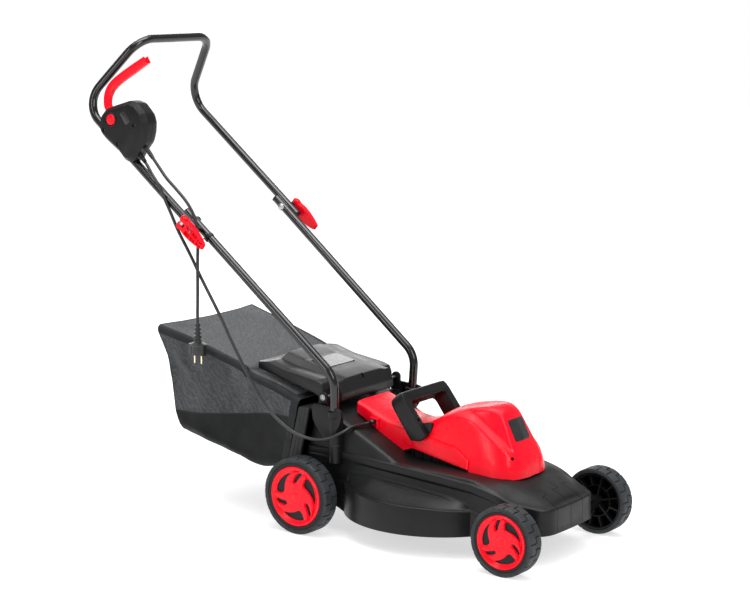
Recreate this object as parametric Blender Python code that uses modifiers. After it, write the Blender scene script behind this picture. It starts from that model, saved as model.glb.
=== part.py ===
"""Electric lawn mower with a fabric grass bag, built in metres.

Design frame: +X is the mower's front, +Y its left, +Z up, z = 0 the ground, and x = 0 the rear axle.
The whole assembly hangs on one empty that shifts it so that the origin is under its middle.
"""

import bmesh
import bpy
import math
from mathutils import Matrix, Vector

# Driving dimensions
CENTRE_SHIFT = 0.0083
WHEELBASE = 0.505
TRACK_OUT = 0.2043
WHEEL_WIDTH = 0.0415
FRONT_RADIUS = 0.070
REAR_RADIUS = 0.0813
FRONT_CAP_RADIUS = 0.0546
REAR_CAP_RADIUS = 0.0635
AXLE_RADIUS = 0.005
GAP = 0.0003

# Wheels
LUG_DEPTH = 0.003
TYRE_WALL = 0.0092
RIM_WALL = 0.0037
HUB_RADIUS = 0.0118
BORE_RADIUS = AXLE_RADIUS + GAP
AXLE_HOLE = 0.0056
WHEEL_STEPS = 16
FRONT_LUGS = 12
REAR_LUGS = 14

# Deck
CUT_X = 0.2315
SKIRT_RADIUS = 0.205
SKIRT_Z = 0.045
BODY_HALF = 0.131
NOSE_X = 0.55
NOSE_HALF = 0.068
NOSE_GROOVES = (-0.0585, -0.038, -0.0195, -0.0045, 0.012)
DECK_WALL = 0.0035
MOTOR_X = 0.235
MOTOR_STEPS = 14
FLAP_AXIS = (0.022, 0.283)
PIN_RADIUS = 0.003
PIN_HOLE = 0.0034
SOCKET_RADIUS = 0.0127
BOSS_RADIUS = 0.014
BOSS_OUT = 0.1638
EAR_IN = 0.1292
EAR_OUT = 0.1352
CHUTE_HALF = 0.1275
MOTOR_SEAT_RADIUS = 0.0570
COVER_WALL = 0.003
NOSE_GROOVE_WIDTH = 0.0014

# Handle, as (x, y, z) of the right-hand side
TUBE_RADIUS = 0.0095
TUBE_WALL = 0.0015
BEND_RADIUS = 0.055
SOCKET_TOP = (0.0585, -0.142, 0.261)
LOWER_BEND = (0.0608, -0.1465, 0.3336)
JOINT = (-0.3066, 0.6328)
LOWER_JOINT_Y = 0.1543
UPPER_JOINT_Y = 0.1742
UPPER_BEND = (-0.6037, -0.17675, 0.8714)
TOP_CORNER = (-0.4896, -0.11775, 1.0145)
OVERRUN = 0.028
PIN_Y = 0.1935

# Quick-release levers
CAM_RADIUS = 0.0095
CAM_HALF_WIDTH = 0.014
FORK_HALF = 0.0048
CROSS_PIN_RADIUS = 0.003
CROSS_PIN_HOLE = 0.0033

# Switch box
BOX_WALL = 0.0025
BUTTON_RADIUS = 0.0100
BUTTON_HOLE = 0.0106
RELIEF_RADIUS = 0.0066
RELIEF_HOLE = 0.0072
BOX_OUT = -0.2005
BOX_SPLIT = -0.1765
BOX_IN = -0.152
LEVER_PIVOT = (-0.512, 0.852)
BUTTON_AT = (-0.501, 0.844)

# Cords
CORD_RADIUS = 0.0035
CORD_STEP = 0.021

# Rear flap and grass bag
FLAP_HALF = 0.128
FLAP_PANEL_HALF = 0.100
FLAP_SKIN = 0.003
BAG_CLOTH = 0.0025
MOUTH_OUT = 0.1500
MOUTH_IN = 0.1440
WIRE_RADIUS = 0.0025

ALONG = Vector((LOWER_BEND[0] - JOINT[0], 0, LOWER_BEND[2] - JOINT[1])).normalized()
ACROSS = Vector((-ALONG.z, 0, ALONG.x))


# Scene and materials
def clear_scene():
    for obj in list(bpy.data.objects):
        bpy.data.objects.remove(obj, do_unlink=True)


def make_collection(name):
    collection = bpy.data.collections.new(name)
    bpy.context.scene.collection.children.link(collection)
    return collection


def make_material(name, colour, roughness, metallic=0.0):
    material = bpy.data.materials.new(name)
    material.use_nodes = True
    shader = material.node_tree.nodes["Principled BSDF"]
    shader.inputs["Base Color"].default_value = (*colour, 1.0)
    shader.inputs["Roughness"].default_value = roughness
    shader.inputs["Metallic"].default_value = metallic
    material.diffuse_color = (*colour, 1.0)
    return material


clear_scene()
PARTS = make_collection("electric_lawn_mower")
HELPERS = make_collection("cutters")
RED = make_material("red_plastic", (0.72, 0.012, 0.022), 0.28)
BLACK = make_material("black_plastic", (0.022, 0.024, 0.025), 0.5)
RUBBER = make_material("tyre_rubber", (0.02, 0.021, 0.022), 0.75)
PAINT = make_material("black_tube_paint", (0.012, 0.012, 0.013), 0.22)
STEEL = make_material("steel", (0.55, 0.56, 0.57), 0.32, 1.0)
BRASS = make_material("brass", (0.8, 0.62, 0.25), 0.3, 1.0)
FABRIC = make_material("bag_fabric", (0.03, 0.031, 0.033), 0.9)
CORD = make_material("cord_sheath", (0.015, 0.015, 0.016), 0.45)
CAST = make_material("cast_aluminium", (0.6, 0.61, 0.62), 0.45, 1.0)


# Bodies: each is an empty on its own joint's axis
def make_body(name, at):
    empty = bpy.data.objects.new(name, None)
    PARTS.objects.link(empty)
    empty.parent = ROOT
    empty.location = at
    return empty


ROOT = bpy.data.objects.new("mower", None)
PARTS.objects.link(ROOT)
ROOT.location = (CENTRE_SHIFT, 0, 0)
FOLD = make_body("handle_fold_axis", (JOINT[0], 0, JOINT[1]))
FLAP = make_body("flap_axis", (FLAP_AXIS[0], 0, FLAP_AXIS[1]))
BAG = make_body("bag_slide_axis", (0, 0, 0.2))
ROTOR = make_body("rotor_axis", (MOTOR_X, 0, 0.1))
LEVER = make_body("switch_lever_axis", (LEVER_PIVOT[0], BOX_SPLIT, LEVER_PIVOT[1]))
BUTTON = make_body("lock_button_axis", (BUTTON_AT[0], BOX_OUT, BUTTON_AT[1]))
CAM_RIGHT = make_body("cam_lever_right_axis", (JOINT[0], -PIN_Y, JOINT[1]))
CAM_LEFT = make_body("cam_lever_left_axis", (JOINT[0], PIN_Y, JOINT[1]))


# Shapes
def add(name, data, material, body=ROOT):
    """A part whose mesh or curve is written in the design frame, carried by the body's empty."""
    obj = bpy.data.objects.new(name, data)
    PARTS.objects.link(obj)
    data.materials.append(material)
    if body is not ROOT:
        obj.location = -body.location
    obj.parent = body
    if obj.type == "MESH":
        data.shade_smooth()
        data.set_sharp_from_angle(angle=math.radians(35))
    return obj


def helper(name, mesh, owner):
    """A hidden solid that cuts or joins its owner, in the owner's own frame."""
    obj = bpy.data.objects.new(name, mesh)
    HELPERS.objects.link(obj)
    obj.parent = owner
    obj.hide_render = True
    obj.display_type = "WIRE"
    return obj


def combine(owner, operation, meshes):
    for index, mesh in enumerate(meshes):
        tool = helper(f"{owner.name}_{operation.lower()}_{index}", mesh, owner)
        modifier = owner.modifiers.new(tool.name, "BOOLEAN")
        modifier.operation = operation
        modifier.object = tool
        modifier.solver = "EXACT"


def cut(owner, *meshes):
    combine(owner, "DIFFERENCE", meshes)


def join(owner, *meshes):
    combine(owner, "UNION", meshes)


def mesh_of(bm, name="mesh"):
    mesh = bpy.data.meshes.new(name)
    bm.to_mesh(mesh)
    bm.free()
    return mesh


def box(low, high):
    """A box between two opposite corners."""
    bm = bmesh.new()
    bmesh.ops.create_cube(bm, size=1.0)
    low, high = Vector(low), Vector(high)
    size = high - low
    bmesh.ops.scale(bm, vec=size, verts=bm.verts)
    bmesh.ops.translate(bm, vec=(low + high) / 2, verts=bm.verts)
    return mesh_of(bm, "box")


def rod(start, end, radius, end_radius=None, sides=18):
    """A round bar or a cone frustum from one point to another."""
    start, end = Vector(start), Vector(end)
    axis = end - start
    bm = bmesh.new()
    bmesh.ops.create_cone(
        bm,
        cap_ends=True,
        segments=sides,
        radius1=radius,
        radius2=radius if end_radius is None else end_radius,
        depth=axis.length,
    )
    turn = axis.to_track_quat("Z", "Y").to_matrix().to_4x4()
    bmesh.ops.transform(bm, matrix=Matrix.Translation((start + end) / 2) @ turn, verts=bm.verts)
    return mesh_of(bm, "rod")


def solid_of(curve):
    """The closed mesh of a curve, with its caps welded on."""
    obj = bpy.data.objects.new("curve_to_mesh", curve)
    bpy.context.scene.collection.objects.link(obj)
    graph = bpy.context.evaluated_depsgraph_get()
    mesh = bpy.data.meshes.new_from_object(obj.evaluated_get(graph))
    bpy.data.objects.remove(obj)
    bm = bmesh.new()
    bm.from_mesh(mesh)
    bmesh.ops.remove_doubles(bm, verts=bm.verts, dist=1e-6)
    bmesh.ops.recalc_face_normals(bm, faces=bm.faces)
    bm.to_mesh(mesh)
    bm.free()
    return mesh


def slab(outline, plane, low, high):
    """A flat outline, as (u, v) pairs, extruded from low to high across its plane."""
    curve = bpy.data.curves.new("outline", "CURVE")
    curve.dimensions = "2D"
    curve.fill_mode = "BOTH"
    curve.extrude = (high - low) / 2
    spline = curve.splines.new("POLY")
    spline.points.add(len(outline) - 1)
    for point, (u, v) in zip(spline.points, outline):
        point.co = (u, v, 0, 1)
    spline.use_cyclic_u = True
    mesh = solid_of(curve)
    middle = (low + high) / 2
    if plane == "XZ":
        mesh.transform(Matrix.Translation((0, middle, 0)) @ Matrix.Rotation(math.pi / 2, 4, "X"))
    elif plane == "YZ":
        to_yz = Matrix(((0, 0, 1, middle), (1, 0, 0, 0), (0, 1, 0, 0), (0, 0, 0, 1)))
        mesh.transform(to_yz)
    else:
        mesh.transform(Matrix.Translation((0, 0, middle)))
    return mesh


def pipe(points, radius, resolution=3):
    """A curve with a round section and filled caps."""
    curve = bpy.data.curves.new("pipe", "CURVE")
    curve.dimensions = "3D"
    curve.bevel_depth = radius
    curve.bevel_resolution = resolution
    curve.use_fill_caps = True
    spline = curve.splines.new("POLY")
    spline.points.add(len(points) - 1)
    for point, place in zip(spline.points, points):
        point.co = (*place, 1)
    return curve


def mirrored(point):
    return (point[0], -point[1], point[2])


def both(make):
    """The meshes that a function makes for the right side (-1) and for the left side (1)."""
    return [make(-1), make(1)]


def span(side, near, far):
    """The low and high y of a piece between two distances from the middle, on one side."""
    return (near, far) if side > 0 else (-far, -near)


def rounded(points, radius, steps=4):
    """The points of a path whose inner corners are arcs of the given radius."""
    points = [Vector(point) for point in points]
    path = [points[0]]
    for before, corner, after in zip(points, points[1:], points[2:]):
        back = (before - corner).normalized()
        ahead = (after - corner).normalized()
        half = back.angle(ahead) / 2
        bisector = (back + ahead).normalized()
        centre = corner + bisector * (radius / math.sin(half))
        start = corner + back * (radius / math.tan(half)) - centre
        end = corner + ahead * (radius / math.tan(half)) - centre
        for step in range(steps + 1):
            path.append(centre + start.normalized().slerp(end.normalized(), step / steps) * radius)
    path.append(points[-1])
    return path


def smooth(points, step):
    """Evenly spaced points on a smooth curve through a route's own points."""
    points = [Vector(point) for point in points]
    ends = [points[0] * 2 - points[1]] + points + [points[-1] * 2 - points[-2]]
    fine = [points[0]]
    for a, b, c, d in zip(ends, ends[1:], ends[2:], ends[3:]):
        for index in range(1, 13):
            t = index / 12
            square = (2 * a - 5 * b + 4 * c - d) * t**2
            cube = (3 * b - a - 3 * c + d) * t**3
            fine.append((2 * b + (c - a) * t + square + cube) / 2)
    length = sum((b - a).length for a, b in zip(fine, fine[1:]))
    count = max(2, round(length / step))
    spaced, travelled, target = [fine[0]], 0.0, length / count
    for a, b in zip(fine, fine[1:]):
        run = (b - a).length
        while len(spaced) < count and travelled + run >= target * len(spaced):
            spaced.append(a.lerp(b, (target * len(spaced) - travelled) / run))
        travelled += run
    return spaced + [fine[-1]]


def between(line, x):
    """The value at x of a line through (x, value) points, held level past its ends."""
    if x <= line[0][0]:
        return line[0][1]
    for (x0, v0), (x1, v1) in zip(line, line[1:]):
        if x <= x1:
            return v0 + (v1 - v0) * (x - x0) / (x1 - x0)
    return line[-1][1]


def loft(rows, closed=False):
    """A sheet of quads through rows with equal counts of points; closed joins each row's ends."""
    bm = bmesh.new()
    grid = [[bm.verts.new(point) for point in row] for row in rows]
    columns = len(rows[0]) - (0 if closed else 1)
    for near, far in zip(grid, grid[1:]):
        for index in range(columns):
            after = (index + 1) % len(near)
            bm.faces.new((near[index], near[after], far[after], far[index]))
    return bm


def shell(name, bm, material, thickness, body=ROOT):
    """A half sheet on the left, made into a whole shell whose outer side is the sheet."""
    bmesh.ops.recalc_face_normals(bm, faces=bm.faces)
    top = max(bm.faces, key=lambda face: face.calc_center_median().z)
    if top.normal.z < 0:
        bmesh.ops.reverse_faces(bm, faces=bm.faces)
    obj = add(name, mesh_of(bm, name), material, body)
    mirror = obj.modifiers.new("mirror", "MIRROR")
    mirror.use_axis = (False, True, False)
    mirror.merge_threshold = 0.0001
    solidify = obj.modifiers.new("wall", "SOLIDIFY")
    solidify.thickness = thickness
    solidify.offset = -1
    solidify.use_even_offset = True
    return obj


def turned(name, profile, material, steps=24, body=ROOT, at=(0, 0, 0), tilt=(0, 0, 0), closed=False):
    """A profile of (radius, height) points spun about the local Z axis; closed makes it a ring."""
    mesh = bpy.data.meshes.new(name)
    count = len(profile)
    edges = [(i, i + 1) for i in range(count - 1)] + ([(count - 1, 0)] if closed else [])
    mesh.from_pydata([(radius, 0, height) for radius, height in profile], edges, [])
    obj = bpy.data.objects.new(name, mesh)
    PARTS.objects.link(obj)
    mesh.materials.append(material)
    obj.parent = body
    obj.location = Vector(at) - (Vector() if body is ROOT else body.location)
    obj.rotation_euler = tilt
    screw = obj.modifiers.new("turn", "SCREW")
    screw.steps = steps
    screw.render_steps = steps
    screw.use_merge_vertices = True
    screw.merge_threshold = 0.0001
    screw.use_smooth_shade = True
    return obj


def ring(angle_list, radius, centre):
    """Points on a circle in the XZ plane or any (u, v) plane, at angles in degrees."""
    return [
        (centre[0] + radius * math.cos(math.radians(a)), centre[1] + radius * math.sin(math.radians(a)))
        for a in angle_list
    ]


def merged(*meshes):
    """Several closed meshes that stay apart, in one mesh."""
    bm = bmesh.new()
    for mesh in meshes:
        bm.from_mesh(mesh)
    return mesh_of(bm, "group")


# Wheels
def tyre_mesh(radius, lugs):
    """A tyre whose tread has two rows of lugs, half a pitch apart, with a flat lug at the bottom."""
    pitch = 2 * math.pi / lugs
    crown = radius / math.cos(0.2 * pitch)
    base = radius - LUG_DEPTH
    inner = radius - TYRE_WALL
    out = -WHEEL_WIDTH / 2
    rows = []
    for lug in range(lugs):
        steps = ((0, crown, base), (0.4, crown, base), (0.5, base, crown), (0.9, base, crown))
        for fraction, outer, inboard in steps:
            angle = -math.pi / 2 + (lug + fraction - 0.2) * pitch
            section = (
                (0.0, inner),
                (0.0, base - 0.001),
                (0.003, outer),
                (0.0195, outer),
                (0.0215, inboard),
                (0.0385, inboard),
                (WHEEL_WIDTH, inner),
            )
            rows.append([(r * math.cos(angle), out + d, r * math.sin(angle)) for d, r in section])
    bm = loft(rows + [rows[0]], closed=True)
    bmesh.ops.remove_doubles(bm, verts=bm.verts, dist=1e-6)
    bmesh.ops.recalc_face_normals(bm, faces=bm.faces)
    return mesh_of(bm, "tyre")


def rim_ribs(radius):
    """Six radial ribs between the hub and the rim, in the wheel's turned frame."""
    low, high = WHEEL_WIDTH / 2 - 0.034, WHEEL_WIDTH / 2 - 0.008
    ribs = []
    for index in range(6):
        inner, outer = HUB_RADIUS - 0.0015, radius - TYRE_WALL - RIM_WALL + 0.001
        rib = box((inner, -0.0011, low), (outer, 0.0011, high))
        rib.transform(Matrix.Rotation(index * math.pi / 3 + math.pi / 6, 4, "Z"))
        ribs.append(rib)
    return merged(*ribs)


def cap_openings(cap_radius, turn):
    """Three curved windows and three slots of the hub cap, as cutters through its face."""
    crescent = ((0.79, 55), (0.82, 22), (0.79, -19), (0.67, 4), (0.56, 54))
    slot = ((0.50, 86), (0.80, 70), (0.80, 75), (0.50, 93))
    cutters = []
    for third in range(3):
        for outline in (crescent, slot):
            flat = [
                (
                    cap_radius * r * math.cos(math.radians(a + 120 * third) + turn),
                    cap_radius * r * math.sin(math.radians(a + 120 * third) + turn),
                )
                for r, a in outline
            ]
            cutters.append(slab(flat, "XY", 0, WHEEL_WIDTH))
    return merged(*cutters)


def wheel(place, x, side, radius, cap_radius, cap_turn):
    """A tyre, its spoked core and its hub cap, on an empty at the wheel's centre."""
    y = TRACK_OUT - WHEEL_WIDTH / 2
    body = make_body(f"{place}_wheel_axis", (x, side * y, radius))
    half_turn = 0 if side < 0 else math.pi
    name = f"{place}_wheel"
    tyre = bpy.data.objects.new(f"{name}_tyre", TYRES[radius])
    PARTS.objects.link(tyre)
    tyre.parent = body
    tyre.rotation_euler = (0, 0, half_turn)
    face = WHEEL_WIDTH / 2
    rim_out = radius - TYRE_WALL - 0.0006
    seat = cap_radius + 0.0005
    core = turned(
        f"{name}_core",
        (
            (BORE_RADIUS, face - 0.0065),
            (seat, face - 0.0065),
            (seat, face - 0.002),
            (rim_out, face - 0.002),
            (rim_out, face - 0.0395),
            (rim_out - RIM_WALL, face - 0.0395),
            (rim_out - RIM_WALL, face - 0.0095),
            (HUB_RADIUS, face - 0.0095),
            (HUB_RADIUS, face - 0.040),
            (BORE_RADIUS, face - 0.040),
        ),
        BLACK,
        steps=WHEEL_STEPS,
        body=body,
        at=body.location,
        tilt=(math.pi / 2, 0, half_turn),
        closed=True,
    )
    join(core, rim_ribs(radius))
    cap = turned(
        f"{name}_cap",
        (
            (0, face - 0.0012),
            (0.010, face - 0.0012),
            (0.0125, face - 0.0035),
            (0.84 * cap_radius, face - 0.003),
            (0.91 * cap_radius, face),
            (cap_radius, face - 0.0004),
            (cap_radius, face - 0.0061),
            (0, face - 0.0061),
        ),
        RED,
        steps=WHEEL_STEPS,
        body=body,
        at=body.location,
        tilt=(math.pi / 2, 0, half_turn),
    )
    cut(cap, cap_openings(cap_radius, cap_turn))
    return body


TYRES = {
    FRONT_RADIUS: tyre_mesh(FRONT_RADIUS, FRONT_LUGS),
    REAR_RADIUS: tyre_mesh(REAR_RADIUS, REAR_LUGS),
}
for tyre_data in TYRES.values():
    tyre_data.materials.append(RUBBER)
wheel("front_right", WHEELBASE, -1, FRONT_RADIUS, FRONT_CAP_RADIUS, 0.4)
wheel("front_left", WHEELBASE, 1, FRONT_RADIUS, FRONT_CAP_RADIUS, 0.6)
wheel("rear_right", 0.0, -1, REAR_RADIUS, REAR_CAP_RADIUS, 0.02)
wheel("rear_left", 0.0, 1, REAR_RADIUS, REAR_CAP_RADIUS, 1.1)

axle_end = TRACK_OUT - 0.0068
for axle, x, z in (("front_axle", WHEELBASE, FRONT_RADIUS), ("rear_axle", 0, REAR_RADIUS)):
    add(axle, rod((x, -axle_end, z), (x, axle_end, z), AXLE_RADIUS), STEEL)

# Deck heights along x: the ramp and plateau, and the top of the side band
TOP_LINE = (
    (0.0, 0.262), (0.05, 0.243), (0.15, 0.193), (0.2062, 0.1655),
    (0.29, 0.1645), (0.44, 0.158), (0.545, 0.120), (0.55, 0.117),
)
BAND_LINE = ((-0.021, 0.176), (0.075, 0.171), (0.41, 0.149), (0.50, 0.131), (0.55, 0.113))
FOOT_LINE = (
    (-0.03, 0.060), (0.05, 0.056), (0.0745, SKIRT_Z),
    (0.39, SKIRT_Z), (0.46, 0.056), (0.55, 0.062),
)


def deck_row(edge, spine_x):
    """One section of the deck, from its spine out to its side and down to the skirt's edge."""
    x, y = edge
    spine = Vector((spine_x, 0))
    reach = Vector(edge) - spine
    outward = reach.normalized()
    bulge = math.sqrt(max(0.0, SKIRT_RADIUS**2 - (x - CUT_X) ** 2))
    bulge = max(0.0, bulge - BODY_HALF) if BODY_HALF - y < 0.001 else 0.0
    out = min(1.0, bulge / 0.03)
    band = between(BAND_LINE, x)
    foot = between(FOOT_LINE, x)
    sill = min(0.098, band - 0.026)

    def at(share, offset=0.0):
        return spine + reach * share + outward * offset

    def top(point, drop=0.0):
        return (point.x, point.y, between(TOP_LINE, point.x) - drop)

    def wall(offset, z):
        point = at(1.0, offset)
        return (point.x, point.y, z)

    return [
        top(at(0.0)),
        top(at(1.0, -0.0157)),
        top(at(1.0, -0.0078), 0.004 if x < 0.2 else 0.002),
        wall(-0.0045, band + 0.002),
        wall(0.0, band),
        wall(0.0, band - 0.014),
        wall(-0.0035, band - 0.018),
        wall(-0.0025, sill),
        wall(max(bulge - 0.009, -0.0015), sill - 0.006 + 0.013 * out),
        wall(max(bulge, 0.0), sill - 0.013 + 0.016 * out),
        wall(max(bulge + 0.0015, 0.0005), foot),
    ]


def chute_row():
    """The rear edge of the deck, which leans with the bag's mouth."""
    row = deck_row((0.0, BODY_HALF), 0.0)
    leaned = []
    for x, y, z in row:
        leaned.append((x - 0.028 * min(1.0, (0.262 - z) / 0.12), y, z))
    return leaned


def deck_mesh():
    rows = [chute_row()]
    for x in (0.03, 0.052):
        rows.append(deck_row((x, BODY_HALF), x))
    for index in range(8):
        x = CUT_X - SKIRT_RADIUS * math.cos(math.radians(40 + 100 * index / 7))
        rows.append(deck_row((x, BODY_HALF), x))
    nose = (
        ((0.44, BODY_HALF), 0.435),
        ((0.50, 0.1305), 0.470),
        ((0.53, 0.118), 0.485),
        ((0.5445, 0.095), 0.494),
        ((0.5490, NOSE_HALF), 0.500),
        ((NOSE_X, 0.0), 0.506),
    )
    for edge, spine_x in nose:
        rows.append(deck_row(edge, spine_x))
    return loft(rows)


def chamber_arc(middle_angle, low, high):
    """Part of the round wall of the cutting chamber."""
    spread = range(-38, 39, 19)
    angles = [middle_angle + a for a in spread]
    inner = ring(angles, SKIRT_RADIUS - 0.0045, (CUT_X, 0))
    outer = ring(reversed(angles), SKIRT_RADIUS - 0.0015, (CUT_X, 0))
    return slab(inner + outer, "XY", low, high)


def socket_point(side, z):
    """The centre of a handle socket at a height, on the line of the tube that stands in it."""
    share = (z - SOCKET_TOP[2]) / (LOWER_BEND[2] - SOCKET_TOP[2])
    place = Vector(SOCKET_TOP).lerp(Vector(LOWER_BEND), share)
    return (place.x, side * -place.y, z)


SOCKET_SIDE = (
    (0.002, 0.272), (0.007, 0.234), (0.033, 0.204), (0.054, 0.198),
    (0.077, 0.233), (0.082, 0.255), (0.077, 0.267),
)
EAR_SIDE = ring(range(-20, 201, 55), 0.011, FLAP_AXIS) + [(0.009, 0.252), (0.036, 0.246)]


def crossbar(x, z, from_y, to_y, radius, sides):
    """A round bar that runs across the mower, along Y."""
    return rod((x, from_y, z), (x, to_y, z), radius, sides=sides)


def side_block(side, x_span, y_span, z_span):
    """A box on one side of the mower, whose y_span counts outward from the middle."""
    low_y, high_y = span(side, *y_span)
    return box((x_span[0], low_y, z_span[0]), (x_span[1], high_y, z_span[1]))


def build_deck():
    deck = shell("deck", deck_mesh(), BLACK, DECK_WALL)
    chute_floor = (
        (0.072, 0.0895), (0.040, 0.0905), (-0.0285, 0.1400),
        (-0.0285, 0.1435), (0.041, 0.0940), (0.072, 0.0930),
    )
    pieces = [
        slab(chute_floor, "XZ", -CHUTE_HALF, CHUTE_HALF),
        chamber_arc(0, 0.047, 0.156),
        chamber_arc(180, 0.047, 0.0915),
    ]
    socket_x = SOCKET_TOP[0] - 0.009, SOCKET_TOP[0] + 0.009
    for side in (-1, 1):
        pieces += [
            rod(socket_point(side, 0.150), socket_point(side, SOCKET_TOP[2]), SOCKET_RADIUS, sides=14),
            side_block(side, socket_x, (0.1235, 0.142), (0.166, 0.250)),
            slab(SOCKET_SIDE, "XZ", *span(side, 0.1445, 0.1505)),
            side_block(side, (0.010, 0.035), (0.1215, EAR_OUT), (0.215, 0.255)),
            slab(EAR_SIDE, "XZ", *span(side, EAR_IN, EAR_OUT)),
            crossbar(WHEELBASE, FRONT_RADIUS, side * 0.120, side * BOSS_OUT, BOSS_RADIUS, 10),
            crossbar(0, REAR_RADIUS, side * 0.122, side * BOSS_OUT, BOSS_RADIUS, 10),
        ]
    join(deck, *pieces)
    holes = [
        crossbar(WHEELBASE, FRONT_RADIUS, -0.2, 0.2, AXLE_HOLE, 8),
        crossbar(0, REAR_RADIUS, -0.2, 0.2, AXLE_HOLE, 8),
        crossbar(*FLAP_AXIS, -0.15, 0.15, PIN_HOLE, 8),
        rod((MOTOR_X, 0, 0.14), (MOTOR_X, 0, 0.175), 0.046, sides=16),
        rod((MOTOR_X, 0, 0.1659), (MOTOR_X, 0, 0.21), MOTOR_SEAT_RADIUS, sides=16),
    ]
    for side in (-1, 1):
        low, high = socket_point(side, 0.180), socket_point(side, 0.27)
        holes.append(rod(low, high, TUBE_RADIUS + 2 * GAP, sides=14))
    half = NOSE_GROOVE_WIDTH / 2
    grooves = [box((0.515, y - half, 0.05), (0.56, y + half, 0.0845)) for y in NOSE_GROOVES]
    cut(deck, *holes, merged(*grooves))


build_deck()


# Motor cover: rows from the spine to the bottom edge, each point (x, y, z)
def cover_rows():
    sections = (
        (0.058, 0.268, (0.050, 0.268), (0.061, 0.262), (0.062, 0.2445)),
        (0.10, 0.256, (0.050, 0.252), (0.0615, 0.244), (0.063, 0.220)),
        (0.15, 0.245, (0.046, 0.236), (0.0605, 0.224), (0.0625, 0.1955)),
        (0.19, 0.243, (0.045, 0.236), (0.0610, 0.226), (0.0630, 0.181)),
        (0.235, 0.253, (0.047, 0.246), (0.0640, 0.235), (0.0685, 0.178)),
        (0.28, 0.274, (0.050, 0.268), (0.0680, 0.253), (0.0760, 0.1735)),
        (0.32, 0.287, (0.054, 0.280), (0.0705, 0.262), (0.0805, 0.1675)),
        (0.36, 0.292, (0.056, 0.282), (0.0720, 0.250), (0.0840, 0.1620)),
        (0.40, 0.285, (0.045, 0.270), (0.0700, 0.225), (0.0830, 0.1602)),
    )
    rows = []
    for x, centre, crest, shoulder, edge in sections:
        low = ((shoulder[0] + edge[0]) / 2 + 0.0015, (shoulder[1] + edge[1]) / 2)
        rows.append([(x, 0, centre)] + [(x, y, z) for y, z in (crest, shoulder, low, edge)])
    front = (
        (
            (0.409, 0, 0.281), (0.419, 0.034, 0.252), (0.431, 0.0570, 0.205),
            (0.437, 0.0665, 0.183), (0.4415, 0.0705, 0.1592),
        ),
        (
            (0.411, 0, 0.279), (0.423, 0.020, 0.250), (0.442, 0.0335, 0.200),
            (0.4485, 0.0390, 0.180), (0.4530, 0.0410, 0.1575),
        ),
        (
            (0.412, 0, 0.278), (0.4245, 0.0, 0.249), (0.446, 0.0, 0.198),
            (0.4525, 0.0, 0.178), (0.4570, 0.0, 0.1560),
        ),
    )
    return rows + [list(row) for row in front]


FOOT_SIDE = (
    (0.2115, 0.2005), (0.2265, 0.1955), (0.2405, 0.2075), (0.2425, 0.2225), (0.2330, 0.2245),
    (0.2245, 0.2225), (0.1795, 0.2935), (0.1720, 0.3050), (0.1520, 0.3050), (0.1465, 0.2960),
)
GLAND_IN = Vector((0.1085, -0.0500, 0.2330))
GLAND_OUT = Vector((0.1000, -0.0740, 0.2290))


def grown(outline, amount):
    """A closed outline whose sides are moved outward by the given amount."""
    points = [Vector(point) for point in outline]
    count = len(points)
    area = sum(points[i - 1].x * points[i].y - points[i].x * points[i - 1].y for i in range(count))
    outward = 1 if area > 0 else -1
    moved = []
    for index, point in enumerate(points):
        before = (point - points[index - 1]).normalized()
        after = (points[(index + 1) % count] - point).normalized()
        first = Vector((before.y, -before.x)) * outward
        second = Vector((after.y, -after.x)) * outward
        corner = (first + second).normalized()
        moved.append(tuple(point + corner * (amount / max(0.4, corner.dot(first)))))
    return moved


def above_deck(clearance):
    """The space under the deck's top line, plus a clearance, as a cutter for what stands on it."""
    line = [(x, z + clearance) for x, z in TOP_LINE if x > 0.1]
    last = line[-1]
    outline = [(0.05, 0.243 + clearance)] + line + [(last[0], 0.08), (0.05, 0.08)]
    return slab(outline, "XZ", -0.11, 0.11)


def build_cover():
    cover = shell("motor_cover", loft(cover_rows()), RED, COVER_WALL)
    rear = (
        (0, 0.2665), (0.0485, 0.2665), (0.0595, 0.2605), (0.0605, 0.2445),
        (-0.0605, 0.2445), (-0.0595, 0.2605), (-0.0485, 0.2665),
    )
    join(cover, slab(rear, "YZ", 0.0583, 0.0613))
    foot_pocket = grown(FOOT_SIDE, 0.0008)
    reach = (GLAND_OUT - GLAND_IN) * 0.6
    cut(
        cover,
        slab(foot_pocket, "XZ", *span(-1, 0.0580, 0.095)),
        slab(foot_pocket, "XZ", *span(1, 0.0580, 0.095)),
        rod(GLAND_IN - reach, GLAND_OUT + reach, 0.0061, sides=12),
        above_deck(0.0005),
    )


build_cover()
cable_gland = add("cable_gland", rod(GLAND_IN, GLAND_OUT, 0.0055, 0.0048, sides=12), BLACK)
join(cable_gland, rod(GLAND_IN.lerp(GLAND_OUT, 0.72), GLAND_IN.lerp(GLAND_OUT, 0.82), 0.0078, sides=12))


def build_carry_handle():
    legs = both(lambda side: slab(FOOT_SIDE, "XZ", *span(side, 0.0588, 0.084)))
    handle = add("carry_handle", legs[0], BLACK)
    grip = (
        (0.1465, 0.2960), (0.1520, 0.3050), (0.1720, 0.3050),
        (0.1795, 0.2935), (0.1740, 0.2850), (0.1545, 0.2845),
    )
    join(handle, legs[1], slab(grip, "XZ", -0.0835, 0.0835))


build_carry_handle()


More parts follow.
